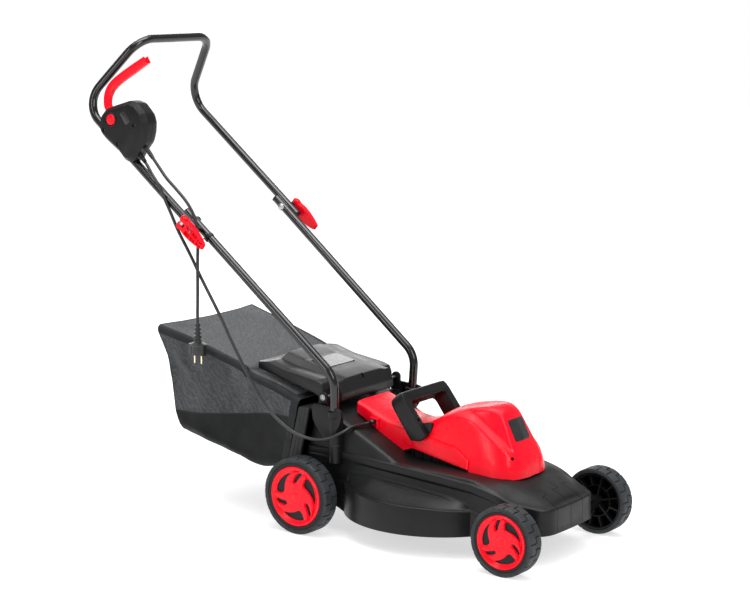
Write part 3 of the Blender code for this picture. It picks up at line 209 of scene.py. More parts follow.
def gloss_red():
    finish = Finish("red_plastic_gloss", coat=0.05, specular=0.22)
    finish.colour(finish.noise(9), (0.84, 0.0010, 0.012), (0.93, 0.0015, 0.018))
    finish.roughness(finish.noise(60), 0.24, 0.34)
    return finish.bump(finish.noise(900, 2), 0.00008, 0.35).material


def satin_black(
    name="black_plastic_satin", dark=0.0045, light=0.0080, smooth=0.32, rough=0.44, grain=0.5,
    specular=0.25,
):
    """Moulded plastic with a fine spark-eroded grain and faint scuffs."""
    finish = Finish(name, specular=specular)
    finish.colour(finish.noise(14), (dark, dark * 1.04, dark * 1.06), (light, light * 1.05, light * 1.07))
    finish.roughness(finish.noise(35, 5), smooth, rough)
    finish.bump(finish.noise(1500, 2), 0.00016, grain)
    return finish.bump(finish.noise(24, 2), 0.0012, 0.25).material


def tube_paint():
    finish = Finish("black_tube_paint", coat=0.2)
    finish.colour(finish.noise(20), (0.0025, 0.0025, 0.003), (0.005, 0.005, 0.0056))
    finish.roughness(finish.noise(90), 0.14, 0.22)
    return finish.bump(finish.noise(500, 2), 0.00005, 0.3).material


def rubber():
    finish = Finish("tyre_rubber_worn", specular=0.35)
    finish.colour(finish.noise(30, 5), (0.016, 0.018, 0.020), (0.032, 0.036, 0.040))
    finish.roughness(finish.noise(70, 4), 0.5, 0.72)
    finish.bump(finish.noise(160, 4), 0.0004, 0.4)
    return finish.bump(finish.noise(1300, 2), 0.0001, 0.5).material


def metal(name, dark, light, smooth, rough, scale=300):
    finish = Finish(name, metallic=1.0)
    grain = finish.noise(scale, 3)
    finish.colour(grain, dark, light)
    finish.roughness(grain, smooth, rough)
    return finish.bump(grain, 0.00006, 0.4).material


def cord_sheath():
    finish = Finish("cord_sheath_pvc", specular=0.5)
    finish.colour(finish.noise(50), (0.0075, 0.0078, 0.008), (0.013, 0.0135, 0.014))
    finish.roughness(finish.noise(80), 0.3, 0.42)
    return finish.bump(finish.noise(700, 2), 0.00008, 0.4).material


def mesh_fabric():
    """Open-weave polyester: thin bright threads over gaps painted dark as the shade inside the bag, with slow
    painted moiré-like shading and painted shade where the cloth hangs slack.
    """
    finish = Finish("bag_mesh_fabric", specular=0.2)
    threads = finish.maths(
        "MAXIMUM", finish.wave(190, "X", distortion=1.2), finish.wave(190, "Y", distortion=1.2),
    )
    slack_and_shade = finish.noise(22, 4, stretch=(1, 1, 0.5))
    bands = finish.maths("MULTIPLY", finish.wave(34, "DIAGONAL", distortion=12.0), 0.3)
    speckle = finish.maths("MULTIPLY", finish.noise(360, 3, 0.8), finish.maths("ADD", bands, 0.8))
    shade = finish.maths(
        "MULTIPLY", finish.maths("MULTIPLY", threads, speckle), finish.maths("ADD", slack_and_shade, 0.35),
    )
    # The colour holds painted shade: dark gaps between the threads, moiré-like bands and slack cloth.
    finish.colour(shade, (0.003, 0.0035, 0.004), (0.105, 0.113, 0.120), 0.12, 0.56)
    finish.roughness(slack_and_shade, 0.68, 0.88)
    finish.shader.inputs["Sheen Weight"].default_value = 0.25
    finish.shader.inputs["Sheen Roughness"].default_value = 0.5
    finish.bump(threads, 0.0005, 0.6)
    return finish.bump(finish.noise(38, 3), 0.002, 0.25).material


def panel_fabric():
    """The bag's solid lower panel: a tight dark weave with a slight shine."""
    finish = Finish("bag_panel_fabric", specular=0.2)
    threads = finish.maths("ADD", finish.wave(260, "X"), finish.wave(260, "Y"))
    finish.colour(finish.noise(18, 3), (0.0030, 0.0034, 0.0036), (0.0062, 0.0068, 0.0070))
    finish.roughness(finish.noise(30), 0.5, 0.66)
    finish.bump(threads, 0.0002, 0.4)
    return finish.bump(finish.noise(30, 3), 0.003, 0.3).material


def binding_tape():
    finish = Finish("bag_binding_tape", specular=0.25)
    ribs = finish.wave(150, "X")
    # The ribs' wave also sets the colour, lighter on the ribs and darker between them: painted light and
    # shade.
    finish.colour(ribs, (0.006, 0.0065, 0.007), (0.019, 0.020, 0.022))
    finish.roughness(finish.noise(50), 0.55, 0.75)
    return finish.bump(ribs, 0.0003, 0.5).material


def bare_plate():
    finish = Finish("bare_badge_plate", specular=0.5, coat=0.3)
    finish.colour(finish.noise(40), (0.011, 0.011, 0.0125), (0.017, 0.017, 0.019))
    finish.roughness(finish.noise(120), 0.24, 0.34)
    return finish.bump(finish.noise(800, 2), 0.00005, 0.4).material


RED = gloss_red()
BLACK = satin_black()
FLAP_BLACK = satin_black("black_plastic_flap", 0.0050, 0.0080, 0.3, 0.4, 0.1, 0.34)
GREY = satin_black("grey_plastic_edge", 0.016, 0.024, 0.36, 0.46, 0.4)
PAINT = tube_paint()
RUBBER = rubber()
STEEL = metal("brushed_steel", (0.42, 0.43, 0.45), (0.62, 0.63, 0.65), 0.22, 0.38)
DARK_STEEL = metal("black_oxide_steel", (0.03, 0.03, 0.032), (0.08, 0.08, 0.085), 0.3, 0.45)
CAST = metal("cast_aluminium_rough", (0.45, 0.46, 0.47), (0.62, 0.63, 0.64), 0.42, 0.6, scale=160)
BRASS = metal("brass_pins", (0.78, 0.64, 0.42), (0.94, 0.84, 0.66), 0.16, 0.28)
SHEATH = cord_sheath()
MESH = mesh_fabric()
PANEL = panel_fabric()
TAPE = binding_tape()
PLATE = bare_plate()


# Shapes
def mesh_of(bm):
    bmesh.ops.recalc_face_normals(bm, faces=bm.faces)
    mesh = bpy.data.meshes.new("mesh")
    bm.to_mesh(mesh)
    bm.free()
    return mesh


def merged(*meshes):
    bm = bmesh.new()
    for mesh in meshes:
        bm.from_mesh(mesh)
    mesh = bpy.data.meshes.new("group")
    bm.to_mesh(mesh)
    bm.free()
    return mesh


def piece(name, mesh, material, body, replaces=(), angle=35):
    """A named piece of the mower, written in the design frame, that rides on a body."""
    mesh.transform(Matrix.Translation((SHIFT, 0, 0)))
    obj = bpy.data.objects.new(name, mesh)
    bpy.context.scene.collection.objects.link(obj)
    mesh.materials.append(material)
    mesh.shade_smooth()
    mesh.set_sharp_from_angle(angle=math.radians(angle))
    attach(obj, body)
    if replaces:
        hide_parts(*replaces)
    return obj


def solidify(obj, thickness, offset=-1):
    modifier = obj.modifiers.new("wall", "SOLIDIFY")
    modifier.thickness = thickness
    modifier.offset = offset
    return obj


def mirror(obj):
    modifier = obj.modifiers.new("mirror", "MIRROR")
    modifier.use_axis = (False, True, False)
    modifier.merge_threshold = 0.0001
    return obj


def bevel(obj, width, segments=2, angle=30):
    modifier = obj.modifiers.new("edges", "BEVEL")
    modifier.width = width
    modifier.segments = segments
    modifier.limit_method = "ANGLE"
    modifier.angle_limit = math.radians(angle)
    modifier.use_clamp_overlap = True
    return obj


def baked(mesh, *steps):
    """The mesh after the given modifier-adding functions, evaluated at once."""
    obj = bpy.data.objects.new("workpiece", mesh)
    bpy.context.scene.collection.objects.link(obj)
    for step in steps:
        step(obj)
    graph = bpy.context.evaluated_depsgraph_get()
    result = bpy.data.meshes.new_from_object(obj.evaluated_get(graph))
    bpy.data.objects.remove(obj)
    return result


def combined(mesh, operation, tool):
    """One mesh cut by, joined to or kept inside another."""
    cutter = bpy.data.objects.new("tool", tool)
    bpy.context.scene.collection.objects.link(cutter)

    def step(obj):
        modifier = obj.modifiers.new("combine", "BOOLEAN")
        modifier.operation = operation
        modifier.object = cutter
        modifier.solver = "EXACT"

    result = baked(mesh, step)
    bpy.data.objects.remove(cutter)
    return result


def beveled(mesh, width, segments=2, angle=30):
    return baked(mesh, lambda obj: bevel(obj, width, segments, angle))


def box(low, high):
    bm = bmesh.new()
    bmesh.ops.create_cube(bm, size=1.0)
    low, high = Vector(low), Vector(high)
    bmesh.ops.scale(bm, vec=high - low, verts=bm.verts)
    bmesh.ops.translate(bm, vec=(low + high) / 2, verts=bm.verts)
    return mesh_of(bm)


def rounded_box(low, high, width, segments=2):
    return beveled(box(low, high), width, segments)


def axis_frame(start, end):
    """A frame at start whose Z axis points at end."""
    axis = Vector(end) - Vector(start)
    return Matrix.Translation(Vector(start)) @ axis.to_track_quat("Z", "Y").to_matrix().to_4x4()


def lathe(profile, steps=48, closed=False, start=None, end=None):
    """A profile of (radius, height) points turned about Z, or about the axis from start to end."""
    bm = bmesh.new()
    verts = [bm.verts.new((radius, 0, height)) for radius, height in profile]
    edges = [bm.edges.new(pair) for pair in zip(verts, verts[1:])]
    if closed:
        edges.append(bm.edges.new((verts[-1], verts[0])))
    bmesh.ops.spin(bm, geom=verts + edges, cent=(0, 0, 0), axis=(0, 0, 1), angle=2 * math.pi, steps=steps)
    bmesh.ops.remove_doubles(bm, verts=bm.verts, dist=1e-6)
    mesh = mesh_of(bm)
    if start is not None:
        mesh.transform(axis_frame(start, end))
    return mesh


def rod(start, end, radius, end_radius=None, edge=0.0, steps=32):
    """A round bar or cone with softened ends."""
    length = (Vector(end) - Vector(start)).length
    far = radius if end_radius is None else end_radius
    profile = [
        (0, 0), (radius - edge, 0), (radius, edge), (far, length - edge), (far - edge, length), (0, length),
    ]
    if not edge:
        profile = [(0, 0), (radius, 0), (far, length), (0, length)]
    return lathe(profile, steps, start=start, end=end)


def mesh_of_curve(curve):
    obj = bpy.data.objects.new("curve", curve)
    bpy.context.scene.collection.objects.link(obj)
    graph = bpy.context.evaluated_depsgraph_get()
    mesh = bpy.data.meshes.new_from_object(obj.evaluated_get(graph))
    bpy.data.objects.remove(obj)
    bm = bmesh.new()
    bm.from_mesh(mesh)
    bmesh.ops.remove_doubles(bm, verts=bm.verts, dist=1e-6)
    return mesh_of(bm)


def slab(outlines, plane, low, high, edge=0.0):
    """Flat outlines, the first filled and the others holes in it, extruded across their plane."""
    curve = bpy.data.curves.new("outline", "CURVE")
    curve.dimensions = "2D"
    curve.fill_mode = "BOTH"
    curve.extrude = (high - low) / 2 - edge
    curve.bevel_depth = edge
    curve.bevel_resolution = 2
    curve.offset = -edge
    for outline in outlines:
        spline = curve.splines.new("POLY")
        spline.points.add(len(outline) - 1)
        for point, (u, v) in zip(spline.points, outline):
            point.co = (u, v, 0, 1)
        spline.use_cyclic_u = True
    mesh = mesh_of_curve(curve)
    middle = (low + high) / 2
    if plane == "XZ":
        mesh.transform(Matrix.Translation((0, middle, 0)) @ Matrix.Rotation(math.pi / 2, 4, "X"))
    elif plane == "YZ":
        mesh.transform(Matrix(((0, 0, 1, middle), (1, 0, 0, 0), (0, 1, 0, 0), (0, 0, 0, 1))))
    else:
        mesh.transform(Matrix.Translation((0, 0, middle)))
    return mesh


def pipe(points, radius, resolution=6, caps=True):
    curve = bpy.data.curves.new("pipe", "CURVE")
    curve.dimensions = "3D"
    curve.bevel_depth = radius
    curve.bevel_resolution = resolution
    curve.use_fill_caps = caps
    spline = curve.splines.new("POLY")
    spline.points.add(len(points) - 1)
    for point, place in zip(spline.points, points):
        point.co = (*place, 1)
    return mesh_of_curve(curve)


def rounded(points, radius, steps=14):
    """The points of a path whose inner corners are arcs of the given radius."""
    points = [Vector(point) for point in points]
    path = [points[0]]
    for before, corner, after in zip(points, points[1:], points[2:]):
        back = (before - corner).normalized()
        ahead = (after - corner).normalized()
        half = back.angle(ahead) / 2
        centre = corner + (back + ahead).normalized() * (radius / math.sin(half))
        start = (corner + back * (radius / math.tan(half)) - centre).normalized()
        end = (corner + ahead * (radius / math.tan(half)) - centre).normalized()
        for step in range(steps + 1):
            path.append(centre + start.slerp(end, step / steps) * radius)
    path.append(points[-1])
    return path


def fillet(points, cuts, steps=4, closed=False):
    """A line whose corners are rounded: each cut is the length taken off both sides of its corner."""
    points = [Vector(point) for point in points]
    count = len(points)
    inner = range(count) if closed else range(1, count - 1)
    line = [] if closed else [points[0]]
    for index in inner:
        before, corner, after = points[index - 1], points[index], points[(index + 1) % count]
        cut = cuts[index if closed else index - 1] if isinstance(cuts, (list, tuple)) else cuts
        back = (before - corner) * min(0.45, cut / max(1e-9, (before - corner).length))
        ahead = (after - corner) * min(0.45, cut / max(1e-9, (after - corner).length))
        for step in range(steps + 1):
            t = step / steps
            line.append(corner + back * (1 - t) ** 2 + ahead * t**2)
    if not closed:
        line.append(points[-1])
    return line


def spline_through(points, per=8, closed=False):
    """Points on a Catmull-Rom curve through the given ones."""
    points = [Vector(point) for point in points]
    if closed:
        ends = [points[-1]] + points + [points[0], points[1]]
    else:
        ends = [points[0] * 2 - points[1]] + points + [points[-1] * 2 - points[-2]]
    line = []
    for a, b, c, d in zip(ends, ends[1:], ends[2:], ends[3:]):
        for index in range(per):
            t = index / per
            line.append(
                (
                    2 * b + (c - a) * t + (2 * a - 5 * b + 4 * c - d) * t**2 + (3 * b - a - 3 * c + d) * t**3
                ) / 2
            )
    return line if closed else line + [points[-1]]


def evenly(points, step):
    """Points at equal distances along a line, its two ends kept."""
    length = sum((b - a).length for a, b in zip(points, points[1:]))
    count = max(2, round(length / step))
    target = length / count
    spaced, travelled = [points[0]], 0.0
    for a, b in zip(points, points[1:]):
        run = (b - a).length
        while len(spaced) < count and travelled + run >= target * len(spaced):
            spaced.append(a.lerp(b, (target * len(spaced) - travelled) / run))
        travelled += run
    return spaced + [points[-1]]


def loft(rows, closed=False, caps=False):
    """A sheet of quads through rows of points."""
    bm = bmesh.new()
    grid = [[bm.verts.new(point) for point in row] for row in rows]
    columns = len(rows[0]) - (0 if closed else 1)
    for near, far in zip(grid, grid[1:]):
        for i in range(columns):
            after = (i + 1) % len(near)
            bm.faces.new((near[i], near[after], far[after], far[i]))
    if caps:
        bm.faces.new(grid[0])
        bm.faces.new(grid[-1][::-1])
    return bm


def sweep(path, section, side_axis, taper=None):
    """A flat section of (side, up) points carried along a path; side_axis fixes how it stands."""
    path = [Vector(point) for point in path]
    rows = []
    for index, point in enumerate(path):
        run = (path[min(len(path) - 1, index + 1)] - path[max(0, index - 1)]).normalized()
        side = (Vector(side_axis) - run * run.dot(Vector(side_axis))).normalized()
        up = run.cross(side)
        scale = taper[index] if taper else 1.0
        rows.append([point + side * (u * scale) + up * (v * scale) for u, v in section])
    return mesh_of(loft(rows, closed=True, caps=True))


def ring(angles, radius, centre=(0, 0)):
    return [
        (centre[0] + radius * math.cos(math.radians(a)), centre[1] + radius * math.sin(math.radians(a)))
        for a in angles
    ]


def between(line, x):
    if x <= line[0][0]:
        return line[0][1]
    for (x0, v0), (x1, v1) in zip(line, line[1:]):
        if x <= x1:
            return v0 + (v1 - v0) * (x - x0) / (x1 - x0)
    return line[-1][1]


def smooth_step(value):
    value = max(0.0, min(1.0, value))
    return value * value * (3 - 2 * value)


def grown(outline, amount):
    """A closed outline whose sides are moved outward by the given amount."""
    points = [Vector(point) for point in outline]
    count = len(points)
    area = sum(points[i - 1].x * points[i].y - points[i].x * points[i - 1].y for i in range(count))
    outward = 1 if area > 0 else -1
    moved = []
    for index, point in enumerate(points):
        before = (point - points[index - 1]).normalized()
        after = (points[(index + 1) % count] - point).normalized()
        first = Vector((before.y, -before.x)) * outward
        second = Vector((after.y, -after.x)) * outward
        corner = (first + second).normalized()
        moved.append(tuple(point + corner * (amount / max(0.4, corner.dot(first)))))
    return moved


def ridge(distance, width):
    """A soft bump of height 1 across a line, whose sides fall off over the given width."""
    return math.exp(-((distance / width) ** 2))


def span(side, near, far):
    return (near, far) if side > 0 else (-far, -near)


def side_name(side):
    return "left" if side > 0 else "right"


def flat(points):
    """The (x, y) of vectors, for an outline."""
    return [(point.x, point.y) for point in points]


def soft_corners(outline, cut, steps=3):
    """A closed flat outline with its corners rounded."""
    return flat(fillet([(x, y, 0) for x, y in outline], cut, steps, closed=True))


def profile_block(sections, cut_back, steps=3):
    """A block lofted across Y from XZ profiles with the same corners; each section is (y, profile)."""
    rows = [[(x, y, z) for x, z in soft_corners(profile, cut_back, steps)] for y, profile in sections]
    return mesh_of(loft(rows, closed=True, caps=True))


def turned_up(mesh):
    """The sheet with its faces turned so that its topmost one looks up."""
    top = max(mesh.polygons, key=lambda face: face.center.z)
    if top.normal.z < 0:
        mesh.flip_normals()
    return mesh


def even_wall(obj, thickness):
    solidify(obj, thickness).modifiers["wall"].use_even_offset = True


def walled(sheet, thickness):
    """A sheet given its thickness, half to each side."""
    return baked(mesh_of(sheet), lambda obj: solidify(obj, thickness, 0))


# Camera
def make_camera():
    a, e = VIEW_AZIMUTH, VIEW_ELEVATION
    back = Vector((math.sin(a) * math.cos(e), -math.cos(a) * math.cos(e), math.sin(e)))
    camera = bpy.data.objects.new("camera", bpy.data.cameras.new("camera"))
    bpy.context.scene.collection.objects.link(camera)
    camera.data.sensor_width = SENSOR_WIDTH
    camera.data.lens = FOCAL_LENGTH
    camera.location = VIEW_TARGET + Vector((SHIFT, 0, 0)) + back * VIEW_DISTANCE
    camera.rotation_euler = back.to_track_quat("Z", "Y").to_euler()
    bpy.context.scene.camera = camera


make_camera()

# Cords, on the CAD's own routes
MAINS_RELIEF = (Vector((-0.440, -0.1780, 0.8050)), Vector((-0.4020, -0.1780, 0.7640)))
CABLE_RELIEF = (Vector((-0.456, -0.1775, 0.7905)), Vector((-0.4200, -0.1840, 0.7560)))
GLAND_IN = Vector((0.1085, -0.0500, 0.2330))
GLAND_OUT = Vector((0.1000, -0.0740, 0.2290))
PLUG_TOP = Vector((-0.2730, -0.1885, 0.4182))
ROUTE_SAMPLES = 12
SCENE_CORD_STEP = 0.006


def past(ends, amount):
    start, end = ends
    return end + (end - start).normalized() * amount


MAINS_ROUTE = [
    past(MAINS_RELIEF, GAP), past(MAINS_RELIEF, 0.015), (-0.3640, -0.1790, 0.7240),
    (-0.3360, -0.1800, 0.7020), (-0.3060, -0.1815, 0.6770), (-0.2880, -0.1820, 0.6540),
    (-0.2780, -0.1820, 0.6320), (-0.2745, -0.1820, 0.6120), (-0.2740, -0.1830, 0.5850),
    (-0.2735, -0.1855, 0.5400), (-0.2730, -0.1870, 0.4850), (-0.2730, -0.1885, 0.4400),
    (-0.2730, -0.1885, 0.4185),
]
MOTOR_ROUTE = [
    past(CABLE_RELIEF, GAP), past(CABLE_RELIEF, 0.012), (-0.3970, -0.1880, 0.7310),
    (-0.3750, -0.1895, 0.7060), (-0.3580, -0.1885, 0.6740), (-0.3480, -0.1840, 0.6490),
    (-0.3330, -0.1780, 0.6110), (-0.3020, -0.1760, 0.5620), (-0.2690, -0.1755, 0.5090),
    (-0.2190, -0.1800, 0.4410), (-0.1750, -0.1830, 0.3730), (-0.1420, -0.1840, 0.3250),
    (-0.1100, -0.1840, 0.2800), (-0.0780, -0.1830, 0.2470), (-0.0470, -0.1810, 0.2250),
    (-0.0180, -0.1780, 0.2100), (0.0170, -0.1730, 0.2020), (0.0450, -0.1680, 0.2030),
    (0.0710, -0.1580, 0.2120), (0.0850, -0.1410, 0.2220), (0.0900, -0.1220, 0.2275),
    (0.0940, -0.0960, 0.2275), GLAND_OUT + (GLAND_OUT - GLAND_IN).normalized() * 0.012,
    GLAND_OUT + (GLAND_OUT - GLAND_IN).normalized() * 3 * GAP,
]


def relief(name, ends, node):
    """A tapered sleeve with ribs, round the cord where it leaves the switch box."""
    start, end = ends
    length = (end - start).length
    profile = [(0.0037, 0), (0.0066, 0.0)]
    ribs, clear = 7, 0.36
    for rib in range(ribs):
        low = length * (clear + (0.96 - clear) * rib / ribs)
        high = length * (clear + (0.96 - clear) * (rib + 0.6) / ribs)
        thick = 0.0065 - 0.0019 * low / length
        profile += [
            (thick, low), (thick, high), (thick - 0.0009, high + 0.0003), (thick - 0.0009, high + 0.0012),
        ]
    profile += [(0.0045, length), (0.0037, length)]
    return piece(
        name, lathe(profile, 24, closed=True, start=start, end=end), SHEATH, "handle_top",
        (node,),
    )


def lens_section(half_x, half_y, power, count=28):
    """A superellipse outline."""
    points = []
    for index in range(count):
        a = 2 * math.pi * index / count
        c, s = math.cos(a), math.sin(a)
        points.append(
            (
                half_x * math.copysign(abs(c) ** (2 / power), c),
                half_y * math.copysign(abs(s) ** (2 / power), s),
            )
        )
    return points


def plug_body():
    """A two-pin plug: ribbed tail, broad flange and a waisted grip."""
    x, y, top = PLUG_TOP
    tail = [(0, 0), (0.0044, 0), (0.0047, -0.0010)]
    ribs = 4
    for rib in range(ribs):
        low = -0.0016 - rib * 0.0086
        thick = 0.0064 + rib * 0.0005
        tail += [
            (thick, low), (thick + 0.0003, low - 0.0048), (thick - 0.0018, low - 0.0054),
            (thick - 0.0018, low - 0.0080),
        ]
    tail += [(0.0080, -0.0370), (0.0090, -0.0450), (0, -0.0450)]
    turned = lathe(tail[::-1], 28)
    turned.transform(Matrix.Translation((x, y, top)))
    rows = []
    sections = (
        (-0.0415, 0.0092, 0.0084, 2.2), (-0.0440, 0.0160, 0.0110, 2.4), (-0.0455, 0.0218, 0.0134, 2.6),
        (-0.0475, 0.0220, 0.0136, 2.6), (-0.0490, 0.0208, 0.0128, 2.6), (-0.0500, 0.0198, 0.0120, 2.6),
        (-0.0530, 0.0195, 0.0117, 2.6), (-0.0600, 0.0195, 0.0117, 2.6), (-0.0680, 0.0195, 0.0117, 2.6),
        (-0.0694, 0.0190, 0.0112, 2.6), (-0.0700, 0.0180, 0.0102, 2.6),
    )
    for height, half_x, half_y, power in sections:
        groove_depth = 0.22 if height < -0.0495 else 0.0
        row = []
        for u, v in lens_section(half_x, half_y, power, 64):
            pinch = 1.0 - groove_depth * ridge(abs(u) - 0.0100, 0.0022)
            row.append((x + u, y + v * pinch, top + height))
        rows.append(row)
    return merged(turned, mesh_of(loft(rows, closed=True, caps=True)))


def plug_pin(x):
    y, top = PLUG_TOP.y, PLUG_TOP.z - 0.0703
    profile = [(0, 0), (0.0020, 0), (0.0020, 0.0150), (0.0018, 0.0170), (0.0012, 0.0184), (0, 0.0187)]
    return lathe(profile, 20, start=(x, y, top), end=(x, y, top - 0.0187))


def build_cords():
    mains_line = evenly(spline_through(MAINS_ROUTE, ROUTE_SAMPLES), SCENE_CORD_STEP)
    motor_line = evenly(spline_through(MOTOR_ROUTE, ROUTE_SAMPLES), SCENE_CORD_STEP)
    mains = piece(
        "mains_lead", pipe(mains_line, CORD_RADIUS, 4), SHEATH, "handle_top",
        ("mains_cord",),
    )
    mains_relief = relief("mains_lead_relief", MAINS_RELIEF, "mains_strain_relief")
    plug = piece("mains_lead_plug", plug_body(), SHEATH, "handle_top", ("mains_plug",))
    rear_pin = piece(
        "plug_pin_a", plug_pin(PLUG_TOP.x - 0.0095), BRASS, "handle_top", ("plug_pin_rear",),
    )
    front_pin = piece(
        "plug_pin_b", plug_pin(PLUG_TOP.x + 0.0095), BRASS, "handle_top", ("plug_pin_front",),
    )
    relief("motor_cable_relief", CABLE_RELIEF, "cable_strain_relief")
    tube = pipe(motor_line, CORD_RADIUS, 4)
    tube.transform(Matrix.Translation((SHIFT, 0, 0)))
    cable = bpy.data.objects.new("motor_lead", tube)
    bpy.context.scene.collection.objects.link(cable)
    tube.materials.append(SHEATH)
    tube.shade_smooth()
    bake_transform(cable)
    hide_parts("motor_cable")


build_cords()


# Wheels, each built about its own centre with local Z pointing out of the wheel
FACE = WHEEL_WIDTH / 2
GROOVE_WIDTH = 0.0023
GROOVE_DEPTH = 0.0024
GROOVE_SLOPE = 0.0004


def tyre(radius, lugs):
    """A tyre with a Z-shaped groove in each pitch, from one shoulder round the middle to the other."""
    pitch = 2 * math.pi / lugs
    inner = radius - TYRE_WALL
    half_groove = GROOVE_WIDTH / 2 / (radius * pitch)
    slope = GROOVE_SLOPE / (radius * pitch)
    stations = [0.12, 0.25, 0.38, 0.62, 0.75, 0.88]
    for centre in (0.0, 0.5):
        stations += [
            centre - half_groove - slope, centre - half_groove, centre + half_groove,
            centre + half_groove + slope,
        ]
    stations.sort()
    columns = (
        (FACE - 0.0016, inner - 0.0004, ""), (FACE - 0.0003, inner + 0.0004, ""),
        (FACE - 0.0001, inner + 0.0020, ""), (FACE - 0.0010, inner + 0.0025, ""),
        (FACE - 0.0010, radius - 0.0052, ""), (FACE - 0.0003, radius - 0.0042, ""),
        (FACE - 0.0006, radius - 0.0022, "out"), (FACE - 0.0016, radius - 0.0008, "out"),
        (FACE - 0.0036, radius, "out"), (0.0100, radius, "out"), (0.0016, radius, "out"),
        (0.0011, radius, "mid"), (-0.0011, radius, "mid"), (-0.0016, radius, "in"),
        (-0.0100, radius, "in"), (-FACE + 0.0036, radius, "in"), (-FACE + 0.0016, radius - 0.0008, "in"),
        (-FACE + 0.0006, radius - 0.0022, "in"), (-FACE + 0.0003, radius - 0.0048, ""),
        (-FACE, inner + 0.0010, ""), (-FACE + 0.0016, inner, ""),
    )
    edge = half_groove + 1e-6
    rows = []
    for lug in range(lugs):
        for share in stations:
            near_out = min(abs(share), abs(share - 1)) <= edge
            near_in = abs(share - 0.5) <= edge
            along = -edge <= share <= 0.5 + edge or share >= 1 - edge
            sunk = {"out": near_out, "in": near_in, "mid": along, "": False}
            angle = -math.pi / 2 + (lug + share - 0.25) * pitch
            row = []
            for height, r, zone in columns:
                depth = min(r, radius - GROOVE_DEPTH) if sunk[zone] else r
                row.append((depth * math.cos(angle), depth * math.sin(angle), height))
            rows.append(row)
    bm = loft(rows + [rows[0]], closed=True)
    bmesh.ops.remove_doubles(bm, verts=bm.verts, dist=1e-6)
    return mesh_of(bm)


# One third of the cap's openings and of its raised star, as (share of the cap's radius, degrees)
CRESCENT = (
    (0.79, -1), (0.815, -12), (0.81, -24), (0.80, -37), (0.795, -50), (0.79, -61), (0.775, -69),
    (0.735, -63), (0.67, -53), (0.595, -40), (0.535, -28), (0.49, -15), (0.515, -5), (0.62, 0),
)
SLOT = ((0.82, 16), (0.70, 19.5), (0.58, 25.5), (0.465, 33), (0.475, 44), (0.60, 39), (0.71, 31), (0.81, 24))
STAR = (
    (0.62, 0.5), (0.76, 0.5), (0.87, 2.5), (0.885, 5.5), (0.81, 12.5), (0.70, 18), (0.58, 24),
    (0.455, 31), (0.455, 45), (0.59, 41), (0.70, 33), (0.81, 25.5), (0.875, 21), (0.875, 25), (0.83, 33),
    (0.785, 44), (0.735, 56), (0.67, 67), (0.595, 80), (0.53, 92), (0.485, 105), (0.51, 116),
)


def polar_outline(points, radius, turn, per=4):
    line = [
        (radius * r * math.cos(math.radians(a + turn)), radius * r * math.sin(math.radians(a + turn)), 0)
        for r, a in points
    ]
    return flat(spline_through(line, per, closed=True))


def hub_cap(radius, turn):
    """A pressed-in cap: a pierced disc, a dished rim, and a raised star of three double arms."""
    openings = [
        polar_outline(shape, radius, turn + 120 * third)
        for third in range(3)
        for shape in (CRESCENT, SLOT)
    ]
    disc = slab(
        [ring(range(0, 360, 5), 0.86 * radius)] + openings, "XY", FACE - 0.0063, FACE - 0.0051, 0.0002,
    )
    star_line = [(r, a + 120 * third) for third in range(3) for r, a in STAR]
    arms = grown(polar_outline(star_line, radius, turn, 3), -0.0006)
    star = slab([arms], "XY", FACE - 0.0056, FACE - 0.0010, 0.0012)
    rim = lathe(
        [
            (0.815 * radius, FACE - 0.0060), (0.815 * radius, FACE - 0.0050), (0.835 * radius, FACE - 0.0044),
            (0.88 * radius, FACE - 0.0026), (0.93 * radius, FACE - 0.0009), (0.965 * radius, FACE - 0.0003),
            (0.99 * radius, FACE - 0.0008), (radius, FACE - 0.0018), (radius, FACE - 0.0060),
        ],
        96, closed=True,
    )
    hub = lathe(
        [
            (0, FACE - 0.0006), (0.120 * radius, FACE - 0.0006), (0.135 * radius, FACE - 0.0009),
            (0.150 * radius, FACE - 0.0014), (0.200 * radius, FACE - 0.0012),
            (0.225 * radius, FACE - 0.0006), (0.255 * radius, FACE - 0.0006),
            (0.275 * radius, FACE - 0.0014), (0.290 * radius, FACE - 0.0050), (0, FACE - 0.0050),
        ],
        64,
    )
    return merged(disc, star, rim, hub)


